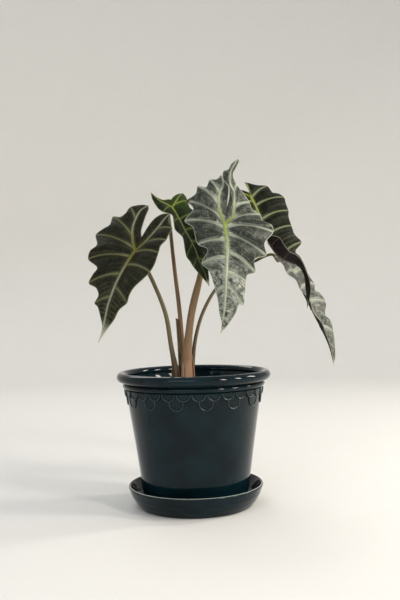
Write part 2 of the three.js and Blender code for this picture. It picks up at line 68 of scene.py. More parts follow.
class Value:
    """A number that varies over a surface, so that sums of it can be written in Python."""

    def __init__(self, look: "Look", socket: bpy.types.NodeSocket) -> None:
        """Wraps the output socket of a node of a look."""
        self.look = look
        self.socket = socket

    def _math(self, operation: str, *terms: "Number") -> "Value":
        """Adds one Math node.

        Args:
            operation: The node's operation.
            terms: Its inputs, in order.

        Returns:
            The node's result.
        """
        node = self.look.node("ShaderNodeMath", {"operation": operation}, dict(enumerate(terms)))
        return Value(self.look, node.outputs[0])

    def __add__(self, other: "Number") -> "Value":
        """Sum."""
        return self._math("ADD", self, other)

    def __radd__(self, other: "Number") -> "Value":
        """Sum with a number on the left."""
        return self._math("ADD", other, self)

    def __sub__(self, other: "Number") -> "Value":
        """Difference."""
        return self._math("SUBTRACT", self, other)

    def __rsub__(self, other: "Number") -> "Value":
        """Difference with a number on the left."""
        return self._math("SUBTRACT", other, self)

    def __mul__(self, other: "Number") -> "Value":
        """Product."""
        return self._math("MULTIPLY", self, other)

    def __rmul__(self, other: "Number") -> "Value":
        """Product with a number on the left."""
        return self._math("MULTIPLY", other, self)

    def sine(self) -> "Value":
        """Sine of the value in radians."""
        return self._math("SINE", self)

    def larger(self, other: "Number") -> "Value":
        """The larger of two values."""
        return self._math("MAXIMUM", self, other)

    def ease(self, start: float, end: float) -> "Value":
        """Smooth step over the value.

        Args:
            start: Where the step is 0.
            end: Where the step is 1.

        Returns:
            The step.
        """
        node = self.look.node(
            "ShaderNodeMapRange",
            {"interpolation_type": "SMOOTHSTEP"},
            {"Value": self, "From Min": start, "From Max": end, "To Min": 0.0, "To Max": 1.0},
        )
        return Value(self.look, node.outputs["Result"])


Number = Union[int, float, Value]
Colour = Union[tuple, bpy.types.NodeSocket]


def tone(code: str) -> tuple:
    """Scene-linear colour of an #rrggbb code.

    Args:
        code: The code.

    Returns:
        Red, green and blue, with full opacity.
    """
    channels = [int(code[i : i + 2], 16) / 255 for i in (1, 3, 5)]
    linear = [c / 12.92 if c <= 0.04045 else ((c + 0.055) / 1.055) ** 2.4 for c in channels]
    return (*linear, 1.0)


class Blend(Enum):
    """Ways of laying one colour over another."""

    MIX = "MIX"
    MULTIPLY = "MULTIPLY"


class Look:
    """A material under construction: its node tree and the few moves that fill it."""

    def __init__(self, name: str) -> None:
        """Starts an empty node material.

        Args:
            name: The material's name.
        """
        self.material = bpy.data.materials.new(name)
        self.material.use_nodes = True
        self.tree = self.material.node_tree
        self.tree.nodes.clear()

    def node(self, kind: str, settings: dict, values: dict) -> bpy.types.Node:
        """Adds a node.

        Args:
            kind: The node's type.
            settings: Its settings; "stops" gives a ramp's (place, colour) pairs.
            values: Numbers, colours, values or sockets by input name or number.

        Returns:
            The new node.
        """
        made = self.tree.nodes.new(kind)
        for key, setting in settings.items():
            if key == "stops":
                self._fill_ramp(made.color_ramp, setting)
            else:
                setattr(made, key, setting)
        for key, value in values.items():
            target = made.inputs[key]
            if isinstance(value, Value):
                self.tree.links.new(value.socket, target)
            elif isinstance(value, bpy.types.NodeSocket):
                self.tree.links.new(value, target)
            else:
                target.default_value = value
        return made

    @staticmethod
    def _fill_ramp(ramp: bpy.types.ColorRamp, stops: Sequence[tuple]) -> None:
        """Gives a colour ramp its stops.

        Args:
            ramp: The ramp.
            stops: Its (place, colour) pairs.
        """
        while len(ramp.elements) < len(stops):
            ramp.elements.new(0.5)
        for element, (place, colour) in zip(ramp.elements, stops):
            element.position = place
            element.color = colour

    def value(self, name: str) -> Value:
        """Value that the mesh carries under a name."""
        node = self.node("ShaderNodeAttribute", {"attribute_name": name}, {})
        return Value(self, node.outputs["Fac"])

    def vector(self, name: str) -> bpy.types.NodeSocket:
        """Vector that the mesh carries under a name."""
        node = self.node("ShaderNodeAttribute", {"attribute_name": name}, {})
        return node.outputs["Vector"]

    def place(self) -> bpy.types.NodeSocket:
        """Position on the piece, in metres."""
        return self.node("ShaderNodeTexCoord", {}, {}).outputs["Object"]

    def point(self, x: Number, y: Number, z: Number = 0.0) -> bpy.types.NodeSocket:
        """Coordinates made of three values."""
        return self.node("ShaderNodeCombineXYZ", {}, {0: x, 1: y, 2: z}).outputs[0]

    def clouds(
        self,
        size: float,
        detail: float = 3.0,
        where: Optional[bpy.types.NodeSocket] = None,
    ) -> Value:
        """Noise from 0 to 1.

        Args:
            size: Size of its patches in millimetres.
            detail: Number of finer layers.
            where: Coordinates in metres; the position on the piece if left out.

        Returns:
            The noise.
        """
        values = {"Vector": where or self.place(), "Scale": 1 / (size * MM), "Detail": detail}
        return Value(self, self.node("ShaderNodeTexNoise", {}, values).outputs[0])

    def cells(self, size: float, where: Optional[bpy.types.NodeSocket] = None) -> Value:
        """Random cells.

        Args:
            size: Size of a cell in millimetres.
            where: Coordinates in metres; the position on the piece if left out.

        Returns:
            Distance to the cells' borders, in cell sizes.
        """
        values = {"Vector": where or self.place(), "Scale": 1 / (size * MM)}
        node = self.node("ShaderNodeTexVoronoi", {"feature": "DISTANCE_TO_EDGE"}, values)
        return Value(self, node.outputs["Distance"])

    def over(
        self, amount: Number, below: Colour, above: Colour, how: Blend = Blend.MIX
    ) -> bpy.types.NodeSocket:
        """Lays a colour over another.

        Args:
            amount: Share of the upper colour.
            below: Colour underneath.
            above: Colour on top.
            how: Way of laying it.

        Returns:
            The resulting colour.
        """
        settings = {"data_type": "RGBA", "blend_type": how.value, "clamp_factor": True}
        return self.node("ShaderNodeMix", settings, {0: amount, 6: below, 7: above}).outputs[2]

    def ramp(self, value: Number, stops: Sequence[tuple]) -> bpy.types.NodeSocket:
        """Colour that follows a value through (place, colour) stops."""
        return self.node("ShaderNodeValToRGB", {"stops": stops}, {0: value}).outputs[0]

    def bump(
        self, height: Value, distance: float, below: Optional[bpy.types.NodeSocket] = None
    ) -> bpy.types.NodeSocket:
        """Fine relief.

        Args:
            height: Height from 0 to 1.
            distance: What 1 stands for, in millimetres.
            below: Relief that this one is laid on.

        Returns:
            The normal for a shader.
        """
        values = {"Height": height, "Distance": distance * MM, "Strength": 1.0}
        if below is not None:
            values["Normal"] = below
        return self.node("ShaderNodeBump", {}, values).outputs[0]

    def finish(self, **values: Union[Number, Colour]) -> bpy.types.Material:
        """Ends the material with one shader.

        Args:
            values: The shader's inputs, with underscores for the spaces in their names.

        Returns:
            The material.
        """
        named = {key.replace("_", " "): value for key, value in values.items()}
        shader = self.node("ShaderNodeBsdfPrincipled", {}, named)
        self.node("ShaderNodeOutputMaterial", {}, {"Surface": shader.outputs[0]})
        return self.material


# ------------------------------------------------------------------------------ shapes


def unit(vector: Array) -> Array:
    """Vector, or array of vectors, of length 1."""
    length = np.linalg.norm(vector, axis=-1, keepdims=True)
    return vector / np.maximum(length, 1e-12)


def smooth(value: Array, start: float, end: float) -> Array:
    """Smooth step of an array from 0 at `start` to 1 at `end`."""
    share = np.clip((value - start) / (end - start), 0, 1)
    return share * share * (3 - 2 * share)


def catmull(points: Array, span: int, share: float) -> Array:
    """Point of a centripetal curve.

    Args:
        points: The points that the curve runs through.
        span: Number of the point before the wanted one.
        share: Part of the span, from 0 to 1.

    Returns:
        The point.
    """
    last = len(points) - 1
    second, third = points[span], points[span + 1]
    first = points[span - 1] if span > 0 else 2 * second - third
    fourth = points[span + 2] if span + 2 <= last else 2 * third - second
    corners = [first, second, third, fourth]
    knots = [0.0]
    for before, after in zip(corners, corners[1:]):
        knots.append(knots[-1] + max(math.sqrt(np.linalg.norm(after - before)), 1e-4))
    at = knots[1] + (knots[2] - knots[1]) * share

    def between(start: Array, end: Array, low: int, high: int) -> Array:
        """Point between two others at the wanted place, by the numbers of their knots."""
        return start + (end - start) * ((at - knots[low]) / (knots[high] - knots[low]))

    a, b, c = (between(corners[i], corners[i + 1], i, i + 1) for i in range(3))
    return between(between(a, b, 0, 2), between(b, c, 1, 3), 1, 2)


class Curve:
    """Smooth curve through points, measured along its length."""

    STEPS = 16

    def __init__(self, points: Iterable[Point]) -> None:
        """Draws the curve and measures it.

        Args:
            points: The points that it runs through.
        """
        nodes = np.array([np.asarray(point, float) for point in points])
        line = [
            catmull(nodes, span, step / self.STEPS)
            for span in range(len(nodes) - 1)
            for step in range(self.STEPS)
        ]
        self.line = np.array([*line, nodes[-1]])
        steps = np.linalg.norm(np.diff(self.line, axis=0), axis=1)
        self.distances = np.concatenate([[0.0], np.cumsum(steps)])
        self.length = float(self.distances[-1])

    def at(self, distance: Union[float, Array]) -> Array:
        """Point or points at distances from the start."""
        columns = [np.interp(distance, self.distances, self.line[:, axis]) for axis in range(3)]
        return np.stack(columns, -1)

    def shares(self, count: int) -> Array:
        """Points at `count` + 1 equal steps from end to end."""
        return self.at(np.linspace(0, self.length, count + 1))


def nearest(points: Array, line: Array) -> tuple:
    """Distances from points to a line of points.

    Args:
        points: The points, one a row.
        line: The line's points, one a row.

    Returns:
        The distances, and how far along the line the nearest places are, from 0 to 1.
    """
    steps = np.diff(line, axis=0)
    lengths = np.linalg.norm(steps, axis=1)
    keep = lengths > 1e-6
    starts, steps, lengths = line[:-1][keep], steps[keep], lengths[keep]
    offset = points[:, None, :] - starts[None]
    share = np.clip((offset * steps[None]).sum(-1) / lengths**2, 0, 1)
    distance = np.linalg.norm(offset - share[..., None] * steps[None], axis=-1)
    best = distance.argmin(1)
    rows = np.arange(len(points))
    before = np.concatenate([[0.0], np.cumsum(lengths)])
    along = (before[best] + share[rows, best] * lengths[best]) / before[-1]
    return distance[rows, best], along


@dataclass
class Shape:
    """Points, faces and what they carry, ready to become a piece."""

    points: Array
    faces: list
    carried: dict = field(default_factory=dict)
    slots: Optional[Array] = None
    creases: Optional[Array] = None

    def piece(self, name: str, *materials: bpy.types.Material) -> bpy.types.Object:
        """Makes the object.

        Args:
            name: Its name.
            materials: What the faces' slots stand for.

        Returns:
            The object, in the scene.
        """
        mesh = bpy.data.meshes.new(name)
        mesh.from_pydata((self.points * MM).tolist(), [], self.faces)
        mesh.polygons.foreach_set("use_smooth", [True] * len(mesh.polygons))
        if self.slots is not None:
            mesh.polygons.foreach_set("material_index", self.slots.astype(np.int32))
        for key, values in self.carried.items():
            kind, slot = ("FLOAT", "value") if values.ndim == 1 else ("FLOAT_VECTOR", "vector")
            carried = mesh.attributes.new(key, kind, "POINT")
            carried.data.foreach_set(slot, values.astype(np.float32).ravel())
        if self.creases is not None and len(self.creases):
            ends = np.zeros(len(mesh.edges) * 2, np.int32)
            mesh.edges.foreach_get("vertices", ends)
            count = len(self.points)
            edges = np.sort(ends.reshape(-1, 2), 1) @ np.array([count, 1])
            creases = np.sort(self.creases, 1) @ np.array([count, 1])
            sharp = mesh.attributes.new("sharp_edge", "BOOLEAN", "EDGE")
            sharp.data.foreach_set("value", np.isin(edges, creases))
        for material in materials:
            mesh.materials.append(material)
        mesh.update()
        made = bpy.data.objects.new(name, mesh)
        bpy.context.scene.collection.objects.link(made)
        return made


def joined(shapes: Sequence[Shape]) -> Shape:
    """One shape of several that carry the same things.

    Args:
        shapes: The shapes.

    Returns:
        The shape of them all, with their slots and creases.
    """
    faces, slots, creases, start = [], [], [], 0
    for shape in shapes:
        faces += [tuple(corner + start for corner in face) for face in shape.faces]
        slots.append(np.zeros(len(shape.faces)) if shape.slots is None else shape.slots)
        if shape.creases is not None and len(shape.creases):
            creases.append(shape.creases + start)
        start += len(shape.points)
    carried = {
        key: np.concatenate([shape.carried[key] for shape in shapes]) for key in shapes[0].carried
    }
    return Shape(
        np.concatenate([shape.points for shape in shapes]),
        faces,
        carried,
        np.concatenate(slots),
        np.concatenate(creases) if creases else None,
    )


class Surface:
    """Open surface of faces whose equal points are shared."""

    def __init__(self) -> None:
        """Starts an empty surface."""
        self.points: list = []
        self.faces: list = []
        self.index: dict = {}

    def vertex(self, point: Array) -> int:
        """Finds a point, or adds it if it is new.

        Args:
            point: The point.

        Returns:
            Its number.
        """
        key = tuple(np.round(point / WELD).astype(int))
        if key not in self.index:
            self.index[key] = len(self.points)
            self.points.append(point)
        return self.index[key]

    def face(self, corners: Sequence[int], flip: bool) -> None:
        """Adds a face unless too many of its corners fall together.

        Args:
            corners: The face's corners, by number.
            flip: Whether its front side is turned round.
        """
        kept = [c for i, c in enumerate(corners) if c != corners[i - 1]]
        if len(kept) > 2 and len(set(kept)) == len(kept):
            self.faces.append(tuple(reversed(kept)) if flip else tuple(kept))

    def grid(self, columns: Sequence[Array], flip: bool = False) -> None:
        """Adds a grid of faces.

        Args:
            columns: Its columns of points.
            flip: Whether its front side is turned round.
        """
        ids = [[self.vertex(point) for point in column] for column in columns]
        for left, right in zip(ids, ids[1:]):
            for j in range(len(left) - 1):
                self.face([left[j], right[j], right[j + 1], left[j + 1]], flip)

    def zip(self, first: Sequence[tuple], second: Sequence[tuple], flip: bool) -> None:
        """Fills the band between two lines whose roots fall together.

        Args:
            first: The first line, as (root, point) pairs.
            second: The second line, the same way.
            flip: Whether the front side of the band is turned round.
        """
        a = [self.vertex(point) for _, point in first]
        b = [self.vertex(point) for _, point in second]
        i = j = 0
        while i + 1 < len(a) or j + 1 < len(b):
            along_first = j + 1 == len(b) or (
                i + 1 < len(a) and first[i + 1][0] >= second[j + 1][0]
            )
            if along_first:
                self.face([a[i], a[i + 1], b[j]], flip)
                i += 1
            else:
                self.face([a[i], b[j + 1], b[j]], flip)
                j += 1

    def listed(self, values: dict) -> Array:
        """What the points carry, kept by their numbers, as rows in their order."""
        return np.array([values[number] for number in range(len(self.points))])

    def normals(self, points: Array) -> Array:
        """Normals of the surface.

        Args:
            points: Where its points are.

        Returns:
            The normal at each point.
        """
        total = np.zeros_like(points)
        for size in (3, 4):
            faces = np.array([face for face in self.faces if len(face) == size], int)
            if not len(faces):
                continue
            corners = points[faces]
            area = np.cross(corners[:, 2] - corners[:, 0], corners[:, -1] - corners[:, 1])
            for k in range(size):
                np.add.at(total, faces[:, k], area)
        return unit(total)

    def solid(self, front: Union[float, Array], back: Union[float, Array]) -> Shape:
        """Closed plate around the surface.

        Args:
            front: How far its front stands proud of the surface.
            back: How far its back lies below the surface.

        Returns:
            The plate; its back has slot 1 and its border is creased.
        """
        points = np.array(self.points)
        count = len(points)
        normals = self.normals(points)
        upper = points + normals * np.reshape(front, (-1, 1))
        lower = points - normals * np.reshape(back, (-1, 1))
        faces = list(self.faces)
        faces += [tuple(corner + count for corner in reversed(face)) for face in self.faces]
        open_edges: dict = {}
        for face in self.faces:
            for start, end in zip(face, (*face[1:], face[0])):
                if open_edges.pop((end, start), None) is None:
                    open_edges[(start, end)] = True
        faces += [(end, start, start + count, end + count) for start, end in open_edges]
        slots = np.zeros(len(faces))
        slots[len(self.faces) : 2 * len(self.faces)] = 1
        border = np.array(list(open_edges), int).reshape(-1, 2)
        creases = np.concatenate([border, border + count])
        return Shape(np.concatenate([upper, lower]), faces, {}, slots, creases)

    def plate(self, front: Union[float, Array], back: float, carried: dict) -> Shape:
        """Closed plate of one finish whose two sides carry the same.

        Args:
            front: How far its front stands proud of the surface.
            back: How far its back lies below the surface.
            carried: What the surface's points carry, by name.

        Returns:
            The plate.
        """
        shape = self.solid(front, back)
        shape.carried = on_both_sides(carried)
        shape.slots[:] = 0
        return shape


def on_both_sides(carried: dict) -> dict:
    """What the points of a surface carry, repeated for the two sides of a plate around it."""
    return {name: np.concatenate([values, values]) for name, values in carried.items()}


@dataclass(frozen=True)
class Ring:
    """One ring of a turned piece: its radius, its height and how far the glaze breaks there."""

    radius: float
    height: float
    crest: float = 0.0


def straight(start: Ring, end: Ring, steps: int) -> list:
    """Rings from one to another, without the last.

    Args:
        start: The first ring.
        end: The ring that the last one stops short of.
        steps: Number of steps between them.

    Returns:
        The rings.
    """
    return [
        Ring(*(getattr(start, key) * (1 - i / steps) + getattr(end, key) * i / steps
               for key in ("radius", "height", "crest")))
        for i in range(steps)
    ]


def arc(centre: Point, size: float, sweep: Point, steps: int, crest: Callable) -> list:
    """Rings round an arc.

    Args:
        centre: Radius and height of its centre.
        size: Its own radius.
        sweep: First and last angle in degrees from the outward direction.
        steps: Number of steps.
        crest: How far the glaze breaks at an angle in degrees.

    Returns:
        The rings, both ends included.
    """
    rings = []
    for i in range(steps + 1):
        angle = sweep[0] + (sweep[1] - sweep[0]) * i / steps
        turn = math.radians(angle)
        radius = centre[0] + size * math.cos(turn)
        rings.append(Ring(radius, centre[1] + size * math.sin(turn), crest(angle)))
    return rings


def crest_near(top: float, height: float, fall: float) -> Callable:
    """How far the glaze breaks round an arc.

    Args:
        top: Angle in degrees at which it breaks most.
        height: How far it breaks there.
        fall: Degrees over which that drops by 1.

    Returns:
        The function from an angle in degrees to how far the glaze breaks.
    """
    return lambda angle: max(0.0, height - abs(angle - top) / fall)


def turned(rings: Sequence[Ring], steps: int, wobble: float = 0.0, closed: bool = True) -> Shape:
    """Piece turned round the upright axis.

    Args:
        rings: Its section from the bottom up the outside; on the axis where the radius is 0.
        steps: Number of faces round it.
        wobble: Unevenness of the hand-made wall, in millimetres.
        closed: Whether the last ring joins the first.

    Returns:
        The shape, which carries "crest".
    """
    surface = Surface()
    loop = [*rings, rings[0]] if closed else list(rings)
    columns = []
    for step in range(steps + 1):
        turn = 2 * math.pi * (step % steps) / steps
        x, y = math.cos(turn), math.sin(turn)
        column = []
        for ring in loop:
            bump = Vector((x * WOBBLE_TURN, y * WOBBLE_TURN, ring.height / WOBBLE_RISE))
            uneven = wobble * noise.noise(bump)
            radius = ring.radius + (uneven if ring.radius > EVEN_RADIUS else 0)
            column.append(np.array([x * radius, y * radius, ring.height]))
        columns.append(np.array(column))
    surface.grid(columns)
    crest = np.zeros(len(surface.points))
    for column in columns:
        for ring, point in zip(loop, column):
            crest[surface.vertex(point)] = ring.crest
    return Shape(np.array(surface.points), surface.faces, {"crest": crest})


# ------------------------------------------------------------------------------ glazes


@dataclass(frozen=True)
class Glaze:
    """Deep glossy glaze that breaks paler where it runs thin over an edge and pools darker in
    hollows; that dark colour also paints shade at the foot of each scallop.
    """

    name: str
    body: str = "#051419"
    pooled_glaze_and_shade: str = "#01070a"
    tint: str = "#0a2027"
    thin: str = "#2d4445"
    thinnest: str = "#c4c8bb"

    def material(self) -> bpy.types.Material:
        """Builds the material.

        Returns:
            The material.
        """
        look = Look(self.name)
        crest = look.value("crest")
        drift = look.clouds(34, 2)
        speckle = look.clouds(1.1, 2)
        colour = look.over(drift.ease(0.3, 0.8), tone(self.body), tone(self.tint))
        # Darker where the glaze pools in hollows; at the outer foot of each scallop this darkening
        # is painted shade.
        colour = look.over((0 - crest).ease(0.05, 0.9), colour, tone(self.pooled_glaze_and_shade))
        broken = crest + (speckle - 0.5) * 0.3
        colour = look.over(broken.ease(0.2, 0.62) * 0.8, colour, tone(self.thin))
        colour = look.over(broken.ease(0.72, 1.0) * 0.9, colour, tone(self.thinnest))
        pits = look.clouds(0.5, 1).ease(0.74, 0.84)
        relief = look.bump(look.clouds(16, 1), 0.05)
        relief = look.bump(1 - pits, 0.015, relief)
        return look.finish(
            Base_Color=colour,
            Roughness=0.035 + drift * 0.03 + broken.ease(0.6, 1.0) * 0.12,
            Normal=relief,
            Specular_IOR_Level=0.19,
        )


@dataclass
class Saucer:
    """Saucer with a flared wall and a thin rounded rim."""

    rim_radius: float = 78.5
    height: float = 24.5
    foot_radius: float = 65.0
    floor: float = 4.7
    rim: float = 1.5
    steps: int = 256

    def shape(self) -> Shape:
        """Turns the saucer.

        Returns:
            The shape, which carries "crest".
        """
        lip_centre = (self.rim_radius - self.rim, self.height - self.rim)
        lip = arc(lip_centre, self.rim, (-20, 160), 14, crest_near(72, 1.06, 62))
        base_edge = Ring(self.foot_radius - 0.6, 0, 0.1)
        foot, wall, flare = Ring(self.foot_radius + 2, 1.0, 0.2), Ring(71.5, 7.0), Ring(75.4, 14.0)
        inside, bend = Ring(73.0, 17.0), Ring(70.0, 10.5, -0.2)
        well, floor_edge = Ring(66.5, 6.2, -0.5), Ring(62.5, self.floor)
        rings = [
            Ring(0, 0),
            *straight(Ring(30, 0), base_edge, 8),
            *straight(Ring(self.foot_radius, 0.1, 0.3), foot, 4),
            *straight(foot, wall, 7),
            *straight(wall, flare, 8),
            *straight(flare, lip[0], 8),
            *lip,
            *straight(inside, bend, 7),
            *straight(bend, well, 6),
            *straight(well, floor_edge, 5),
            *straight(floor_edge, Ring(20, self.floor), 8),
            Ring(0, self.floor),
        ]
        return turned(rings, self.steps, wobble=0.25, closed=False)

    def build(self, glaze: bpy.types.Material) -> None:
        """Builds and dresses the saucer."""
        place(self.shape().piece("saucer_glazed", glaze), "saucer_glaze", "saucer")


@dataclass(frozen=True)
class Scallop:
    """One kind of scallop in a frieze.

    Its sizes are the height of the centre of its round end, the radius of that end, how far its
    straight sides run up from the centre, how far its middle stands proud of the wall, and how
    much further its border does.
    """

    centre: float
    size: float
    stem: float
    lift: float
    ridge: float

    def outline(self) -> list:
        """Draws its border.

        Returns:
            The border points with the points that they face, both in sizes of the round end.
        """
        rises = np.linspace(0, self.stem, 4)[1:] / self.size if self.stem else []
        falls = np.linspace(self.stem, 0, 4)[:-1] / self.size if self.stem else []
        left = [((-1.0, up), (0.0, up)) for up in falls]
        right = [((1.0, up), (0.0, up)) for up in rises]
        turns = np.radians(np.linspace(180, 360, 29))
        return [*left, *(((math.cos(t), math.sin(t)), (0.0, 0.0)) for t in turns), *right]


@dataclass
class Pot:
    """Tapered pot with a rolled rim, a bead under it and a frieze of scallops."""

    base: float = 5.0
    foot_radius: float = 59.8
    taper: float = 0.1467
    wall: float = 6.0
    floor: float = 11.0
    drain_radius: float = 9.0
    wall_top: float = 136.0
    bead: Point = (80.2, 140.2)
    bead_size: float = 3.0
    roll: Point = (84.5, 150.0)
    roll_size: float = 5.5
    steps: int = 256
    frieze_foot: float = 112.0
    scallops: int = 30
    scallop_phase: float = -2.4
    upper: Scallop = Scallop(centre=136.2, size=8.3, stem=0.0, lift=1.6, ridge=0.95)
    lower: Scallop = Scallop(centre=125.8, size=8.6, stem=6.5, lift=0.65, ridge=0.9)
    ridge_at: float = 0.89
    ridge_width: float = 0.078
    groove_at: float = 0.7
    edge_start: float = 0.955
    edge_width: float = 0.065
    edge_sink: float = 0.35
    root: float = 1.0

    def radius(self, height: float) -> float:
        """Outer radius of the tapered wall at a height."""
        return self.foot_radius + self.taper * (height - self.base)

    def shape(self) -> Shape:
        """Turns the pot.

        Returns:
            The shape, which carries "crest".
        """
        bead = arc(self.bead, self.bead_size, (-75, 62), 14, crest_near(5, 0.22, 300))
        roll = arc(self.roll, self.roll_size, (-112, 205), 34, crest_near(20, 0.16, 400))
        underside = Ring(50, self.base)
        foot = Ring(self.radius(self.base + 1.5), self.base + 1.5, 0.15)
        under_frieze = Ring(self.radius(self.frieze_foot), self.frieze_foot)
        neck = Ring(self.radius(self.wall_top), self.wall_top, -0.5)
        inner = Ring(neck.radius - self.wall, self.wall_top)
        low = Ring(self.radius(self.floor) - self.wall, self.floor + 2, -0.2)
        floor_edge = Ring(low.radius - 2, self.floor)
        drain_top, drain = Ring(self.drain_radius, self.floor), Ring(self.drain_radius, self.base)
        rings = [
            *straight(drain, underside, 4),
            *straight(underside, Ring(self.foot_radius - 1.5, self.base, 0.3), 3),
            *straight(Ring(self.foot_radius - 1.2, self.base + 0.1, 0.5), foot, 4),
            *straight(foot, under_frieze, 44),
            *straight(under_frieze, neck, 14),
            neck,
            *bead,
            Ring(self.radius(142) + 0.4, 143.4, -0.7),
            *roll,
            *straight(Ring(inner.radius + 1, self.wall_top + 5), inner, 4),
            *straight(inner, low, 34),
            *straight(low, floor_edge, 4),
            *straight(floor_edge, drain_top, 6),
            *straight(drain_top, drain, 4),
        ]
        return turned(rings, self.steps, wobble=0.5)

    def scallop(self, bearing: float, kind: Scallop) -> Shape:
        """One raised scallop of the frieze.

        Args:
            bearing: Its angle in degrees from the front, positive to the right.
            kind: Its sizes.

        Returns:
            The shape, which carries "crest".
        """
        shares = np.array([0, 0.3, 0.55, 0.68, 0.75, 0.8, 0.84, 0.88, 0.92, 0.96, 0.99, 1.02])
        surface, relief, crest = Surface(), {}, {}
        columns = []
        for rim, anchor in kind.outline():
            column = []
            for share in shares:
                u = kind.size * (anchor[0] + (rim[0] - anchor[0]) * share)
                height = kind.centre + kind.size * (anchor[1] + (rim[1] - anchor[1]) * share)
                radius = self.radius(height)
                turn = math.radians(bearing - 90) + u / radius
                point = np.array([radius * math.cos(turn), radius * math.sin(turn), height])
                column.append(point)
                number = surface.vertex(point)
                edge = math.exp(-(((share - self.ridge_at) / self.ridge_width) ** 2))
                groove = max(0.0, 1 - abs(share - self.groove_at) / 0.1)
                drop = max(0.0, share - self.edge_start) / self.edge_width
                relief[number] = (
                    kind.lift * (1 - drop**2) + kind.ridge * edge - self.edge_sink * drop
                )
                # Darker inside the ridge where the glaze pools, and a dark line at the outer foot
                # that is painted shade under the scallop's edge.
                crest[number] = 0.66 * edge - 0.9 * groove - 1.2 * drop
            columns.append(np.array(column))
        surface.grid(columns, True)
        return surface.plate(surface.listed(relief), self.root, {"crest": surface.listed(crest)})

    def frieze(self) -> Shape:
        """Upper row of scallops and the lower ones that peep out between every second pair.

        Returns:
            The shape of them all, which carries "crest".
        """
        pitch = 360 / self.scallops
        shapes = []
        for k in range(self.scallops):
            middle = self.scallop_phase + pitch * (k + 0.5)
            shapes.append(self.scallop(middle, self.upper))
            if k % 2 == 1:
                cusp = self.scallop_phase + pitch * k
                shapes.append(self.scallop(cusp, self.lower))
        return joined(shapes)

    def build(self, glaze: bpy.types.Material) -> None:
        """Builds and dresses the pot and its frieze."""
        place(self.shape().piece("pot_glazed", glaze), "pot_glaze", "pot")
        place(self.frieze().piece("pot_frieze", glaze), "pot_glaze")


# --------------------------------------------------------------- potting mix and corm


class Grain(Enum):
    """What lies in the potting mix; the value is what the mesh carries."""

    CRUMB = 0.0
    BARK = 0.5
    PERLITE = 1.0


@dataclass(frozen=True)
class Earth:
    """Moist potting mix with bark and perlite."""

    dark: str = "#1c130d"
    light: str = "#3d2b1d"
    bark: str = "#5b3b22"
    perlite: str = "#cfc8b8"
    shadow: str = "#120c08"

    def material(self) -> bpy.types.Material:
        """Builds the material.

        Returns:
            The material.
        """
        look = Look("potting_mix_earth")
        kind, shade = look.value("kind"), look.value("shade")
        fine = look.clouds(2.2, 5)
        soil = look.over(fine.ease(0.35, 0.7), tone(self.dark), tone(self.light))
        bark = look.over(look.clouds(1.2, 4).ease(0.3, 0.7), tone(self.bark), tone(self.dark))
        colour = look.over(kind.ease(0.2, 0.4), soil, bark)
        colour = look.over(kind.ease(0.7, 0.9), colour, tone(self.perlite))
        colour = look.over(shade * 0.55, colour, tone(self.shadow), Blend.MULTIPLY)
        relief = look.bump(look.clouds(0.9, 5), 0.5)
        relief = look.bump(fine, 0.8, relief)
        return look.finish(Base_Color=colour, Roughness=0.96 - 0.14 * fine, Normal=relief)


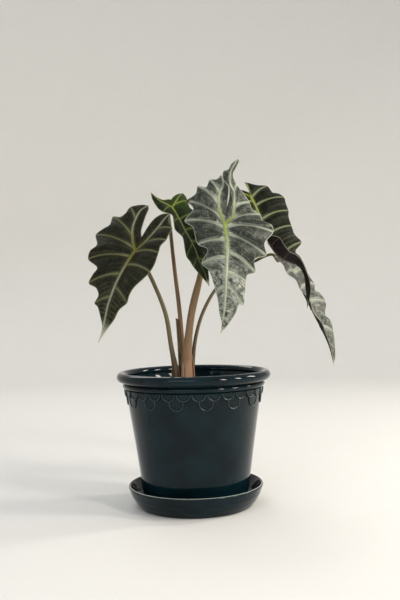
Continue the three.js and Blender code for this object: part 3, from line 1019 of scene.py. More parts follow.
@dataclass
class PottingMix:
    """Potting mix: an uneven crown of crumbs, bark chips and perlite grains."""

    pot: Pot
    top: float = 128.0
    crown: float = 1.2
    crown_radius: float = 73.0
    lumps: Point = (17.0, 1.7)
    crumbs: Point = (4.2, 0.8)
    clearance: float = 0.4
    corm_place: Point = (-10.0, 4.0)
    corm_radius: float = 19.0
    steps: int = 120
    grains: int = 620
    crumbs_up_to: float = 0.68
    bark_up_to: float = 0.91
    seed: int = 11

    def height(self, x: float, y: float) -> float:
        """Height of the mix.

        Args:
            x: First coordinate of the place.
            y: Second coordinate of the place.

        Returns:
            The height there.
        """
        away = math.hypot(x, y)
        wide, high = self.lumps
        low = noise.noise(Vector((x / wide, y / wide, 3.1))) * high
        wide, high = self.crumbs
        fine = noise.noise(Vector((x / wide, y / wide, 9.4))) * high
        return self.top + self.crown * (1 - (away / self.crown_radius) ** 2) + low + fine

    def bed(self) -> Shape:
        """Makes the solid bed under the loose grains.

        Returns:
            The shape, which carries "kind" and "shade".
        """
        wall = self.pot.wall + self.clearance
        foot = self.pot.radius(self.pot.floor) - wall
        edge = self.pot.radius(self.top) - wall
        surface = Surface()
        columns = []
        for step in range(self.steps + 1):
            turn = 2 * math.pi * (step % self.steps) / self.steps
            x, y = math.cos(turn), math.sin(turn)
            bottom = self.pot.floor + 0.3
            profile = [(0, bottom), (foot - 3, bottom), (foot, self.pot.floor + 3.5)]
            column = [np.array([x * r, y * r, z]) for r, z in profile]
            for radius in np.linspace(edge, 0, 52):
                height = self.height(x * radius, y * radius)
                column.append(np.array([x * radius, y * radius, height]))
            columns.append(np.array(column))
        surface.grid(columns)
        count = len(surface.points)
        carried = {"kind": np.zeros(count), "shade": np.full(count, 0.2)}
        return Shape(np.array(surface.points), surface.faces, carried)

    def grain(self, kind: Grain, where: Array, size: Array, random: np.random.Generator) -> Shape:
        """One loose grain.

        Args:
            kind: What it is.
            where: Its middle.
            size: Its half lengths along its own axes.
            random: Source of its unevenness.

        Returns:
            The shape, which carries "kind" and "shade".
        """
        ball = bmesh.new()
        bmesh.ops.create_icosphere(ball, subdivisions=2 if kind is Grain.BARK else 1, radius=1)
        points = np.array([vertex.co[:] for vertex in ball.verts])
        faces = [tuple(vertex.index for vertex in face.verts) for face in ball.faces]
        ball.free()
        points *= random.uniform(0.78, 1.12, (len(points), 1))
        if kind is Grain.BARK:
            points = np.sign(points) * np.abs(points) ** 0.7
        spin = Matrix.Rotation(random.uniform(0, 2 * math.pi), 3, "Z")
        tilt = Matrix.Rotation(random.normal(0, 0.35), 3, "X")
        points = (points * size) @ np.array(spin @ tilt).T + where
        count = len(points)
        carried = {
            "kind": np.full(count, kind.value),
            "shade": np.full(count, random.uniform(0, 0.8)),
        }
        return Shape(points, faces, carried)

    def loose(self) -> list:
        """Scatters loose grains over the bed, clear of the corm.

        Returns:
            The shapes of the grains.
        """
        random = np.random.default_rng(self.seed)
        edge = self.pot.radius(self.top) - self.pot.wall - 3.2
        shapes = []
        while len(shapes) < self.grains:
            away, turn = edge * math.sqrt(random.uniform(0, 1)), random.uniform(0, 2 * math.pi)
            x, y = away * math.cos(turn), away * math.sin(turn)
            from_corm = math.hypot(x - self.corm_place[0], y - self.corm_place[1])
            pick = random.uniform(0, 1)
            if from_corm < self.corm_radius + 0.6:
                continue
            if pick < self.crumbs_up_to:
                kind, size = Grain.CRUMB, random.uniform(0.6, 1.7) * random.uniform(0.7, 1.2, 3)
            elif pick < self.bark_up_to:
                kind, chip = Grain.BARK, random.uniform(1.0, 2.1) * np.array([2.1, 1.2, 0.55])
                size = chip * random.uniform(0.8, 1.2, 3)
            else:
                kind, size = Grain.PERLITE, random.uniform(0.7, 1.5) * random.uniform(0.8, 1.1, 3)
            where = np.array([x, y, self.height(x, y) + size[2] * 0.35])
            shapes.append(self.grain(kind, where, size, random))
        return shapes

    def build(self) -> None:
        """Builds and dresses the potting mix."""
        shape = joined([self.bed(), *self.loose()])
        place(shape.piece("potting_mix_crumbs", Earth().material()), "potting_mix", "potting_mix")


@dataclass(frozen=True)
class CormSkin:
    """Brown fibrous skin of a corm, ringed by old leaf scars."""

    dark: str = "#2e1c12"
    light: str = "#7d5a3e"
    pale: str = "#a98a68"

    def material(self) -> bpy.types.Material:
        """Builds the material.

        Returns:
            The material.
        """
        look = Look("corm_skin")
        scar = look.value("scar")
        grain = look.clouds(3.0, 5, look.vector("lengthwise"))
        colour = look.over(grain.ease(0.3, 0.7), tone(self.dark), tone(self.light))
        colour = look.over(scar.ease(0.4, 1.0) * 0.7, colour, tone(self.pale))
        relief = look.bump(grain, 0.6)
        return look.finish(Base_Color=colour, Roughness=0.7 + grain * 0.25, Normal=relief)


@dataclass
class Corm:
    """Squat corm that the stalks rise from, ringed by leaf scars."""

    place_xy: Point = (-10.0, 4.0)
    radius: float = 18.6
    bottom: float = 108.0
    top: float = 133.0
    scar_spacing: float = 3.1
    neck: float = 6.0
    steps: int = 96
    rings: int = 44

    def shape(self) -> Shape:
        """Turns the corm, uneven and ringed by scars.

        Returns:
            The shape, which carries "scar" and "lengthwise".
        """
        middle = (self.bottom + self.top) / 2 + 3
        crown = self.top - 0.2
        outline = Curve(
            [
                (0, 0, self.bottom), (9, 0, self.bottom + 1.5), (self.radius - 3, 0, middle - 8),
                (self.radius, 0, middle), (self.radius - 0.6, 0, self.top - 2.4),
                (self.radius - 4.5, 0, self.top - 0.4), (5, 0, crown), (0, 0, crown),
            ]
        ).shares(self.rings)
        surface, scars = Surface(), {}
        columns = []
        for step in range(self.steps + 1):
            turn = 2 * math.pi * (step % self.steps) / self.steps
            x, y = math.cos(turn), math.sin(turn)
            column = []
            for radius, _, height in outline:
                tilt = height + 0.5 * math.sin(turn * 2 + 1) + 0.3 * math.sin(turn * 5)
                wave = math.sin(tilt * 2 * math.pi / self.scar_spacing)
                scar = max(0.0, wave) ** 3 if radius > self.neck else 0.0
                rough = noise.noise(Vector((x * 4, y * 4, height / 3)))
                shrink = 1 - 0.03 * abs(rough) - 0.025 * (1 - scar)
                point = np.array([x * radius * shrink, y * radius * shrink, height])
                column.append(point)
                scars[surface.vertex(point)] = scar
            columns.append(np.array(column))
        surface.grid(columns)
        points = np.array(surface.points)
        scar = surface.listed(scars)
        lengthwise = points * np.array([1, 1, 0.25]) * MM
        points[:, :2] += np.array(self.place_xy)
        return Shape(points, surface.faces, {"scar": scar, "lengthwise": lengthwise})

    def build(self) -> None:
        """Builds and dresses the corm."""
        place(self.shape().piece("corm_scarred", CormSkin().material()), "corm", "corm")


# ------------------------------------------------------------------------------ blades
#
# A blade is drawn in its own frame: x to the right seen from its upper side with the tip
# down, y from the stalk's junction towards the basal lobes, z out of the upper side.


@dataclass(frozen=True)
class Mark:
    """Outline point of a half blade: the end of a side vein, or a point between two veins."""

    at: Point
    root: Optional[float] = None


def vein(root: float, x: float, y: float, z: float) -> Mark:
    """End of a side vein that leaves the rib at a distance from the junction."""
    return Mark((x, y, z), root)


def edge(x: float, y: float, z: float) -> Mark:
    """Outline point between two veins."""
    return Mark((x, y, z))


@dataclass(frozen=True)
class Half:
    """One half of a blade: its lobe's rib, the edge of the gap between lobes, its outline."""

    lobe: Sequence[Point]
    sinus_edge: Sequence[Point]
    outline: Sequence[Mark]


@dataclass(frozen=True)
class Spot:
    """Patch of a blade round a point in its frame, with its reach and its strength."""

    at: Point
    reach: float
    strength: float = 1.0

    def on(self, points: Array) -> Array:
        """Strength of the patch at points."""
        away = np.linalg.norm(points - np.array(self.at, float), axis=1)
        return self.strength * (1 - smooth(away, 0.25 * self.reach, self.reach))


class BladeSide(Enum):
    """The two sides of a blade."""

    UPPER = "upper"
    UNDER = "under"


@dataclass(frozen=True)
class BladeFinish:
    """Leathery blade: pale ribs and veins, a fine net between them and a pale margin."""

    name: str
    deep: str
    light: str
    silver: str
    rib: str
    rib_end: str
    vein: str
    margin: str
    # Painted light: colours of the blade and its veins where light shines through it, laid on the
    # blade's patches.
    painted_backlight: str = "#7f9a22"
    painted_backlight_vein: str = "#8ea33a"
    dry: str = "#5a3a1c"
    under: str = "#110c10"
    under_rib: str = "#453a33"
    net: float = 0.5
    halo: float = 0.5
    margin_width: float = 0.95
    tip: str = "#b9c0a6"
    pale_tip: float = 9.0
    # Strength of the painted sheen on the lower part of the upper side.
    painted_sheen: float = 0.0
    minor: float = 0.12
    gloss: float = 0.36
    shine: float = 0.2

    def upper(self) -> bpy.types.Material:
        """Builds the material of the upper side.

        Returns:
            The material.
        """
        look = Look(f"{self.name}_{BladeSide.UPPER.value}")
        rib, side_vein = look.value("rib"), look.value("vein")
        border, reach, tip = look.value("border"), look.value("reach"), look.value("tip")
        apart, course = look.value("apart"), look.value("course")
        wide, mid, fine = look.clouds(16, 2), look.clouds(5, 3), look.clouds(1.2, 3)

        colour = look.over(wide.ease(0.3, 0.72), tone(self.deep), tone(self.light))
        slant = course + apart * 0.8
        strokes = look.clouds(1, 3, look.point(slant * 1.25 * MM, apart * 0.16 * MM))
        hairs = look.clouds(1, 2, look.point(course * 1.7 * MM, apart * 0.1 * MM, 0.03))
        threads = 1 - look.cells(2.4).ease(0.01, 0.1)
        near = (1 - apart.ease(0.5, 9)) * 0.7 + 0.3
        rim_near = (1 - border.ease(1, 9)) * 0.5
        lace = strokes.ease(0.5, 0.66) * near.larger(rim_near)
        lace = lace.larger(hairs.ease(0.56, 0.68) * 0.7).larger(threads * 0.4)
        lace = lace * (0.25 + mid.ease(0.36, 0.62))
        # Painted sheen: towards the tip the silver net grows stronger and silver patches are laid
        # on, standing in for light reflected there; the net itself is the leaf's own.
        low = course.ease(22, 72)
        colour = look.over(lace * self.net * (1 + low * self.painted_sheen), colour, tone(self.silver))
        lines = ((course + mid * 1.5) * 1.1).sine().ease(0.8, 1.0) * (0.3 + low)
        colour = look.over(lines * self.minor, colour, tone(self.vein))
        painted_sheen_patches = mid.ease(0.3, 0.8) * strokes.ease(0.3, 0.7) * low * self.painted_sheen
        colour = look.over(painted_sheen_patches, colour, tone(self.silver))
        glare = (1 - rib.ease(0.95, 2.3)).larger(1 - side_vein.ease(0.8, 3.0))
        colour = look.over(
            glare * self.halo * (0.25 + strokes.ease(0.38, 0.6)), colour, tone(self.silver)
        )
        # Painted light shining through the blade, on its patches.
        colour = look.over(look.value("painted_backlight"), colour, tone(self.painted_backlight))

        uneven = (fine - 0.5) * 0.6
        vein_colour = look.over(look.value("painted_backlight") * 0.8, tone(self.vein), tone(self.painted_backlight_vein))
        vein_mask = 1 - (side_vein + uneven).ease(0.45, 1.2)
        colour = look.over(vein_mask * 0.9, colour, vein_colour)
        rib_colour = look.over(reach.ease(4, 46), tone(self.rib), tone(self.rib_end))
        # Painted shade: a dark band along each side of a rib, standing in for the shadow of a
        # groove there.
        groove = (1 - (rib - 1.15).ease(0, 0.35)) * rib.ease(0.7, 1.15)
        colour = look.over(groove * 0.5, colour, tone(self.deep))
        rib_mask = 1 - (rib + uneven * 0.5).ease(0.62, 1.1)
        colour = look.over(rib_mask, colour, rib_colour)
        thin = 1 - (border + (fine - 0.5) * 0.9 + (mid - 0.5) * 0.8).ease(
            0.3 * self.margin_width, self.margin_width
        )
        colour = look.over(thin * 0.85, colour, tone(self.margin))
        pale = 1 - (tip + uneven * 6).ease(0.2 * self.pale_tip, self.pale_tip)
        colour = look.over(pale * 0.85, colour, tone(self.tip))
        dry = look.value("dry")
        colour = look.over(dry.ease(0.25, 0.75), colour, tone(self.dry))
        colour = look.over(1 - (tip + uneven * 2).ease(0.5, 2.6), colour, tone(self.dry))

        relief = look.bump(look.clouds(0.8, 3), 0.05)
        relief = look.bump(1 - lace, 0.22, relief)
        relief = look.bump(look.clouds(4.5, 2), 0.5, relief)
        relief = look.bump(1 - vein_mask.larger(rib_mask) * 0.5, 0.12, relief)
        return look.finish(
            Base_Color=colour,
            Roughness=self.gloss + mid * 0.12 + lace * 0.08,
            Normal=relief,
            Specular_IOR_Level=self.shine,
        )

    def lower(self) -> bpy.types.Material:
        """Builds the material of the underside.

        Returns:
            The material.
        """
        look = Look(f"{self.name}_{BladeSide.UNDER.value}")
        rib, side_vein, apart = look.value("rib"), look.value("vein"), look.value("apart")
        wide, fine = look.clouds(13, 3), look.clouds(1.2, 3)
        threads = 1 - look.cells(2.8).ease(0.02, 0.16)
        dim = tuple(0.55 * channel for channel in tone(self.under)[:3]) + (1.0,)
        colour = look.over(wide.ease(0.3, 0.7), tone(self.under), dim)
        colour = look.over(threads * 0.35, colour, tone(self.under_rib))
        # Painted light shining through the blade, on the underside too.
        colour = look.over(look.value("painted_backlight") * 0.8, colour, tone(self.painted_backlight))
        mask = (1 - rib.ease(0.7, 1.15)).larger((1 - side_vein.ease(0.6, 1.1)) * 0.8)
        colour = look.over(mask, colour, tone(self.under_rib))
        thin = 1 - look.value("border").ease(0.4, 1.1)
        colour = look.over(thin * 0.7, colour, tone(self.margin))
        relief = look.bump(fine, 0.06)
        relief = look.bump(threads * (1 - apart.ease(2, 14) * 0.6), 0.12, relief)
        return look.finish(
            Base_Color=colour, Roughness=0.5 + wide * 0.14, Normal=relief, Specular_IOR_Level=0.15
        )


@dataclass
class Blade:
    """One leaf blade."""

    name: str
    slot: str
    finish: BladeFinish
    junction: Point
    droop: float
    roll: float
    heading: float
    midrib: Sequence[Point]
    sinus: Point
    left: Half
    right: Half
    dry: Sequence[Spot] = ()
    # Patches painted as if light shone through the blade.
    painted_backlight: Sequence[Spot] = ()
    thickness: float = 0.5
    spacing: float = 1.6
    rows: int = 28
    inner_rows: int = 9
    sweep: float = 0.06
    arch: float = 0.05
    quilt: float = 0.055
    ripple: float = 0.35
    fine_ripple: float = 0.12
    rib_crowding: float = 1.35
    vein_crowding: float = 1.4
    midrib_width: float = 1.6
    lobe_rib_width: float = 1.15
    rib_end: float = 0.5
    vein_width: float = 1.15
    vein_end: float = 0.55
    rib_rise: float = 0.42
    vein_rise: float = 0.28
    vein_drop: float = 0.5

    def turn(self) -> Array:
        """Turns the blade's frame: tilt below the horizontal, twist, compass heading.

        Returns:
            The rotation.
        """
        droop, roll, heading = (math.radians(a) for a in (self.droop, self.roll, self.heading))
        turned_by = (
            Matrix.Rotation(heading, 3, "Z")
            @ Matrix.Rotation(droop, 3, "X")
            @ Matrix.Rotation(roll, 3, "Y")
        )
        return np.array(turned_by)

    def column(self, start: Array, end: Array, rows: int, sweep: float, puff: float) -> Array:
        """Points from a rib to the margin.

        Args:
            start: Point of the rib.
            end: Point of the margin.
            rows: Number of steps, which are closer together near the rib.
            sweep: How far the line bows towards the lobes, as a part of its length.
            puff: How far it is raised between veins, from 0 to 1.

        Returns:
            The points, both ends included.
        """
        share = np.linspace(0, 1, rows + 1) ** self.rib_crowding
        length = float(np.linalg.norm(end - start))
        line = start + (end - start) * share[:, None]
        bow = 4 * share * (1 - share) * length
        line[:, 1] += bow * sweep
        line[:, 2] += bow * (self.arch + self.quilt * puff * smooth(share, 0.0, 0.3))
        for point, part in zip(line, share):
            broad = noise.noise(Vector(point / 9)) * self.ripple
            fine = noise.noise(Vector(point / 3.5)) * self.fine_ripple
            point[2] += (broad + fine) * min(1.0, 4 * part * (1.02 - part))
        return line

    def half(self, half: Half, midrib: Curve) -> tuple:
        """Skeleton of one half.

        Args:
            half: Its numbers.
            midrib: The blade's midrib.

        Returns:
            The function from a root to the rib's point, the outer columns as (root, points),
            the inner columns, and the lines of the side veins.
        """
        lobe = Curve(half.lobe)

        def rib_point(root: float) -> Array:
            """Point of the midrib, or of the lobe's rib for a negative root."""
            return midrib.at(root) if root >= 0 else lobe.at(-root)

        marks = [Mark(midrib.line[-1], midrib.length), *half.outline,
                 Mark(lobe.line[-1], -lobe.length)]
        numbers = [i for i, mark in enumerate(marks) if mark.root is not None]
        roots = np.interp(range(len(marks)), numbers, [marks[i].root for i in numbers])
        ends = np.array([mark.at for mark in marks], float)
        outer, veins = [], []
        for i in range(len(marks) - 1):
            at_vein, to_vein = i in numbers, i + 1 in numbers
            count = max(4, math.ceil(np.linalg.norm(ends[i + 1] - ends[i]) / self.spacing))
            panel = [n for n in numbers if n <= i][-1], [n for n in numbers if n > i][0]
            for step in range(count):
                share = step / count
                if at_vein and not to_vein:
                    share = share**self.vein_crowding
                elif to_vein and not at_vein:
                    share = 1 - (1 - share) ** self.vein_crowding
                root = roots[i] + (roots[i + 1] - roots[i]) * share
                across = (i + share - panel[0]) / (panel[1] - panel[0])
                line = self.column(
                    rib_point(root), catmull(ends, i, share), self.rows, self.sweep,
                    math.sin(math.pi * across) ** 0.8,
                )
                outer.append((root, line))
                if step == 0 and at_vein and i > 0:
                    veins.append(line)
        tip = lobe.line[-1]
        outer.append((-lobe.length, np.repeat(tip[None], self.rows + 1, 0)))

        sinus = Curve([self.sinus, *half.sinus_edge, half.lobe[-1]])
        steps = max(8, math.ceil(lobe.length / self.spacing))
        inner = []
        for start, end, part in zip(lobe.shares(steps), sinus.shares(steps), range(steps + 1)):
            root = -lobe.length * part / steps
            inner.append((root, self.column(start, end, self.inner_rows, 0, 0)))
        return rib_point, outer, inner, veins

    @staticmethod
    def stations(roots: Iterable[float], rib_point: Callable, gap: float = 0.5) -> list:
        """Picks the points of a rib that its faces start from.

        Args:
            roots: Distances of its side lines from the junction.
            rib_point: The function from a root to the rib's point.
            gap: Least distance between two stations.

        Returns:
            The stations as (root, point) pairs with falling roots, both ends included.
        """
        falling = sorted(roots, reverse=True)
        kept = [falling[0]]
        for root in falling:
            if kept[-1] - root >= gap and root - falling[-1] >= gap:
                kept.append(root)
        return [(root, rib_point(root)) for root in [*kept, falling[-1]]]

    def surface(self) -> tuple:
        """Middle surface of the blade and its lines.

        Returns:
            The surface, the ribs as (curve, width at the junction), the lines of the side
            veins, the points of the margin in order, and each point's place along its rib.
        """
        midrib = Curve(self.midrib)
        halves = [self.half(half, midrib) for half in (self.left, self.right)]
        surface = Surface()
        roots = [root for _, outer, _, _ in halves for root, _ in outer if root > 0]
        trunk = self.stations([*roots, 0.0], midrib.at)
        margins, course = [], {}
        for number, (rib_point, outer, inner, _) in enumerate(halves):
            flip = number == 1
            lobe_roots = [root for root, _ in [*outer, *inner] if root <= 0]
            branch = self.stations(lobe_roots, rib_point)
            for rib, columns, turned_round in (
                ([*trunk, *branch[1:]], outer, flip),
                (branch, inner, not flip),
            ):
                surface.grid([line[1:] for _, line in columns], turned_round)
                surface.zip(rib, [(root, line[1]) for root, line in columns], turned_round)
                margins.append(np.array([line[-1] for _, line in columns]))
                for root, line in [*columns, *((root, [point]) for root, point in rib)]:
                    for point in line:
                        course[surface.vertex(point)] = root
        lobes = [(Curve(half.lobe).line, self.lobe_rib_width) for half in (self.left, self.right)]
        ribs = [(midrib.line, self.midrib_width), *lobes]
        return surface, ribs, [line for *_, veins in halves for line in veins], margins, course

    def shape(self) -> Shape:
        """Closes the blade and sets it in the object's frame.

        Returns:
            The shape, which carries all that the finish reads.
        """
        surface, ribs, veins, margins, course = self.surface()
        points = np.array(surface.points)
        count = len(points)
        rib = np.full(count, 9.0)
        for line, width in ribs:
            away, part = nearest(points, line)
            rib = np.minimum(rib, away / (self.rib_end + width * (1 - part) ** 0.75))
        ratio, apart = np.full(count, 9.0), np.full(count, 60.0)
        for line in veins:
            away, part = nearest(points, line)
            length = np.linalg.norm(line[-1] - line[0])
            width = self.vein_end + self.vein_width * (1 - part) ** 0.6
            width = width * min(1.0, 0.5 + length / 60)
            ratio, apart = np.minimum(ratio, away / width), np.minimum(apart, away)
        for line, _ in ribs:
            apart = np.minimum(apart, nearest(points, line)[0])
        border = np.full(count, 60.0)
        for margin in margins:
            border = np.minimum(border, nearest(points, margin)[0])
        reach = np.linalg.norm(points, axis=1)
        tip = np.linalg.norm(points - ribs[0][0][-1], axis=1)

        body = self.thickness * (0.55 + 0.45 * smooth(border, 0, 5))
        raised = np.clip(1 - rib**2, 0, 1), np.clip(1 - ratio**2, 0, 1)
        inside = smooth(border, 0.0, 2.5)
        relief = self.rib_rise * raised[0] + self.vein_rise * raised[1] ** 1.5
        above = body / 2 + relief * inside
        keel = 0.3 + 1.5 * np.exp(-reach / 55)
        relief = keel * raised[0] ** 0.5 + self.vein_drop * raised[1] ** 0.6
        below = body / 2 + relief * inside
        shape = surface.solid(above, below)
        carried = {
            "rib": rib, "vein": ratio, "apart": apart, "border": border, "reach": reach,
            "tip": tip, "course": np.array([course.get(i, 0.0) for i in range(count)]),
            "dry": sum((spot.on(points) for spot in self.dry), np.zeros(count)),
            "painted_backlight": np.clip(sum((spot.on(points) for spot in self.painted_backlight), np.zeros(count)), 0, 1),
        }
        shape.carried = on_both_sides(carried)
        shape.points = shape.points @ self.turn().T + np.array(self.junction, float)
        return shape

    def build(self, materials: Sequence[bpy.types.Material]) -> None:
        """Builds and dresses the blade."""
        piece = self.shape().piece(f"leaf_{self.name}", *materials)
        place(piece, self.slot, f"blade_{self.name}")


# ------------------------------------------------------------------------------ stalks


@dataclass(frozen=True)
class StalkFinish:
    """Fleshy stalk, streaked lengthwise, whose colour changes from the foot to the top."""

    name: str
    foot: str
    lower: str
    middle: str
    top: str
    streak: str
    wing: str = "#a9876a"

    def material(self) -> bpy.types.Material:
        """Builds the material.

        Returns:
            The material.
        """
        look = Look(self.name)
        lengthwise = look.vector("lengthwise")
        rise, thin = look.value("rise"), look.value("thin")
        streaks = look.clouds(1.6, 3, lengthwise)
        fine = look.clouds(0.45, 2, lengthwise)
        blotch = look.clouds(11, 3)
        stops = [(0.0, tone(self.foot)), (0.16, tone(self.lower)), (0.5, tone(self.middle)),
                 (0.86, tone(self.middle)), (0.97, tone(self.top))]
        colour = look.ramp(rise + (blotch - 0.5) * 0.12, stops)
        colour = look.over(streaks.ease(0.48, 0.75) * 0.5, colour, tone(self.streak))
        colour = look.over(fine.ease(0.62, 0.8) * 0.3, colour, tone(self.foot))
        colour = look.over(thin * 0.55, colour, tone(self.wing))
        relief = look.bump(streaks, 0.12)
        relief = look.bump(fine, 0.05, relief)
        return look.finish(
            Base_Color=colour,
            Roughness=0.36 + streaks * 0.16,
            Normal=relief,
            Subsurface_Weight=0.12,
            Subsurface_Radius=(0.004, 0.0025, 0.001),
            Subsurface_Scale=1.0,
            Coat_Weight=0.1,
            Coat_Roughness=0.3,
        )


@dataclass(frozen=True)
class Wing:
    """Thin wing of a stalk's sheathing foot: where it sits and how far it stands out."""

    bearing: float
    top: float
    width: float
    curl: float = 40.0


@dataclass
class Stalk:
    """Tapered leaf stalk from the corm's crown to the underside of its blade."""

    blade: Blade
    slot: str
    radii: Point
    route: Sequence[Point]
    wings: Sequence[Wing] = ()
    sides: int = 22
    steps: int = 110
    gap: float = 1.6
    approach: float = 7.0
    overlap: float = 1.25
    grooves: int = 5
    groove_depth: float = 0.035
    channel_depth: float = 0.03
    flare: float = 0.22
    streak_round: float = 3.0
    streak_rise: float = 0.07
    wing_steps: int = 8

    def curve(self) -> Curve:
        """Draws the route, which meets the blade square on to its underside.

        Returns:
            The route.
        """
        upper = self.blade.turn() @ np.array([0, 0, 1.0])
        end = np.array(self.blade.junction, float) - upper * self.gap
        return Curve([*self.route, end - upper * self.approach, end, end + upper * self.overlap])

    def radius(self, share: float) -> float:
        """Radius of the stalk.

        Args:
            share: Part of its length.

        Returns:
            The radius there.
        """
        foot, middle, top = self.radii
        bend = 1 / 3
        if share < bend:
            ease = (share / bend) ** 2 * (3 - 2 * share / bend)
            return foot + (middle - foot) * ease
        return middle + (top - middle) * (share - bend) / (1 - bend)

    def rings(self) -> tuple:
        """Places rings along the stalk.

        Returns:
            The route, each ring's part of its length, the centres, and the two directions square
            to it.
        """
        curve = self.curve()
        shares = np.linspace(0, 1, self.steps + 1)
        centres = curve.at(shares * curve.length)
        ahead = unit(np.gradient(centres, axis=0))
        ahead[0] = [0, 0, 1]
        across = [unit(np.cross([0.0, 1.0, 0.0], ahead[0]))]
        for direction in ahead[1:]:
            across.append(unit(across[-1] - direction * np.dot(across[-1], direction)))
        return curve, shares, centres, np.array(across), np.cross(ahead, np.array(across))

    def carried(self, share: float, length: float, x: float = 0.0, y: float = 0.0) -> tuple:
        """What a point carries for the finish.

        Args:
            share: Its part of the stalk's length.
            length: That length.
            x: First coordinate of the streaks round the stalk.
            y: Second coordinate of the streaks round the stalk.

        Returns:
            How far up it is, then the coordinates of the streaks in metres.
        """
        return share, x * MM, y * MM, share * length * self.streak_rise * MM

    def shape(self) -> Shape:
        """Draws out the stalk and adds its wings.

        Returns:
            The shape, which carries "rise", "lengthwise" and "thin".
        """
        curve, shares, centres, across, aside = self.rings()
        surface = Surface()
        places: dict = {}
        columns = []
        for side in range(self.sides + 1):
            turn = 2 * math.pi * (side % self.sides) / self.sides
            out = across * math.cos(turn) + aside * math.sin(turn)
            ribbed = self.groove_depth * (0.5 + 0.5 * math.cos(turn * self.grooves))
            channel = self.channel_depth * max(0.0, math.cos(turn)) ** 6
            groove = 1 - ribbed - channel
            radius = np.array([self.radius(share) for share in shares])
            flare = 1 + self.flare * smooth(shares, 0.975, 1.0)
            uneven = np.array([1 + 0.03 * noise.noise(Vector(c / 22)) for c in centres])
            column = centres + out * (radius * groove * flare * uneven)[:, None]
            streak = self.streak_round * math.cos(turn), self.streak_round * math.sin(turn)
            for point, share in zip(column, shares):
                places[surface.vertex(point)] = self.carried(share, curve.length, *streak)
            columns.append(column)
        surface.grid(columns)
        for ring, share in ((0, 0.0), (-1, 1.0)):
            middle = surface.vertex(centres[ring])
            places[middle] = self.carried(share, curve.length)
            for left, right in zip(columns, columns[1:]):
                surface.face(
                    [surface.vertex(left[ring]), middle, surface.vertex(right[ring])], ring != 0
                )
        table = surface.listed(places)
        stem = Shape(
            np.array(surface.points), surface.faces,
            {"rise": table[:, 0], "lengthwise": table[:, 1:], "thin": np.zeros(len(table))},
            np.zeros(len(surface.faces)),
        )
        return joined([stem, *(self.wing(wing) for wing in self.wings)])

    def wing(self, wing: Wing) -> Shape:
        """Makes one wing of the sheathing foot.

        Args:
            wing: Its sizes.

        Returns:
            The shape, which carries what the stalk does.
        """
        curve, shares, centres, across, aside = self.rings()
        surface, places, columns = Surface(), {}, []
        foot = centres[0][2]
        kept = centres[:, 2] <= wing.top
        for step in range(self.wing_steps + 1):
            part = step / self.wing_steps
            column = []
            for centre, a, b, share in zip(centres[kept], across[kept], aside[kept], shares[kept]):
                rise = (centre[2] - foot) / (wing.top - foot)
                reach = wing.width * (1 - rise**2.2) * part
                wave = 5 * math.sin(rise * 9 + wing.bearing)
                turn = math.radians(wing.bearing + (wing.curl + wave) * part * part)
                radius = self.radius(share) * 0.9 + reach
                point = centre + (a * math.cos(turn) + b * math.sin(turn)) * radius
                column.append(point)
                carried = self.carried(share, curve.length, part * self.streak_round)
                places[surface.vertex(point)] = (*carried, part**2)
            columns.append(np.array(column))
        surface.grid(columns)
        table = surface.listed(places)
        carried = {"rise": table[:, 0], "lengthwise": table[:, 1:4], "thin": table[:, 4]}
        return surface.plate(LEAF_SIDE, LEAF_SIDE, carried)

    def build(self, material: bpy.types.Material) -> None:
        """Builds and dresses the stalk."""
        name = self.blade.name
        place(self.shape().piece(f"stalk_{name}", material), self.slot, f"petiole_{name}")


@dataclass(frozen=True)
class SheathFinish:
    """Dry papery sheath with lengthwise fibres."""

    dark: str = "#33290f"
    light: str = "#665722"
    rim: str = "#73582f"

    def material(self) -> bpy.types.Material:
        """Builds the material.

        Returns:
            The material.
        """
        look = Look("sheath_paper")
        fibres = look.clouds(0.9, 3, look.vector("lengthwise"))
        border = look.value("border")
        colour = look.over(fibres.ease(0.35, 0.68), tone(self.dark), tone(self.light))
        colour = look.over(1 - border.ease(0.3, 1.4), colour, tone(self.rim))
        relief = look.bump(fibres, 0.25)
        return look.finish(Base_Color=colour, Roughness=0.5 + fibres * 0.2, Normal=relief)


@dataclass
class SheathLeaf:
    """Old sheath that still clasps the foot of the inner stalk."""

    stalk: Stalk
    top: float = 217.0
    bearing: float = 170.0
    spread: float = 75.0
    tip_spread: float = 14.0
    bluntness: int = 12
    clearance: float = 1.1
    reach: float = 1.6
    rows: int = 60
    columns: int = 16

    def shape(self) -> Shape:
        """Wraps the sheath round its stalk.

        Returns:
            The shape, which carries "lengthwise" and "border".
        """
        curve = self.stalk.curve()
        foot = self.stalk.route[0][2]
        surface, places, columns = Surface(), {}, []
        for column in range(self.columns + 1):
            across = 2 * column / self.columns - 1
            line = []
            for row in range(self.rows + 1):
                rise = row / self.rows
                distance = rise * (self.top - foot)
                centre = curve.at(distance)
                half = self.spread * math.sqrt(max(0.0, 1 - rise**self.bluntness)) + self.tip_spread
                turn = math.radians(self.bearing + half * across)
                radius = self.stalk.radius(distance / curve.length) + self.clearance
                radius += self.reach * float(smooth(rise, 0.0, 0.3))
                radius += 0.25 * noise.noise(Vector((across * 2, 0, distance / 14)))
                line.append(centre + radius * np.array([math.cos(turn), math.sin(turn), 0.0]))
                border = min((1 - abs(across)) * half * 0.07, (1 - rise) * 60)
                fibres = (across * 4 * MM, 0.0, distance * 0.05 * MM)
                places[surface.vertex(line[-1])] = (*fibres, border)
            columns.append(np.array(line))
        surface.grid(columns)
        table = surface.listed(places)
        carried = {"lengthwise": table[:, :3], "border": table[:, 3]}
        return surface.plate(LEAF_SIDE, LEAF_SIDE, carried)

    def build(self) -> None:
        """Builds and dresses the sheath."""
        piece = self.shape().piece("sheath_dry", SheathFinish().material())
        place(piece, "sheath", "sheath_leaf")
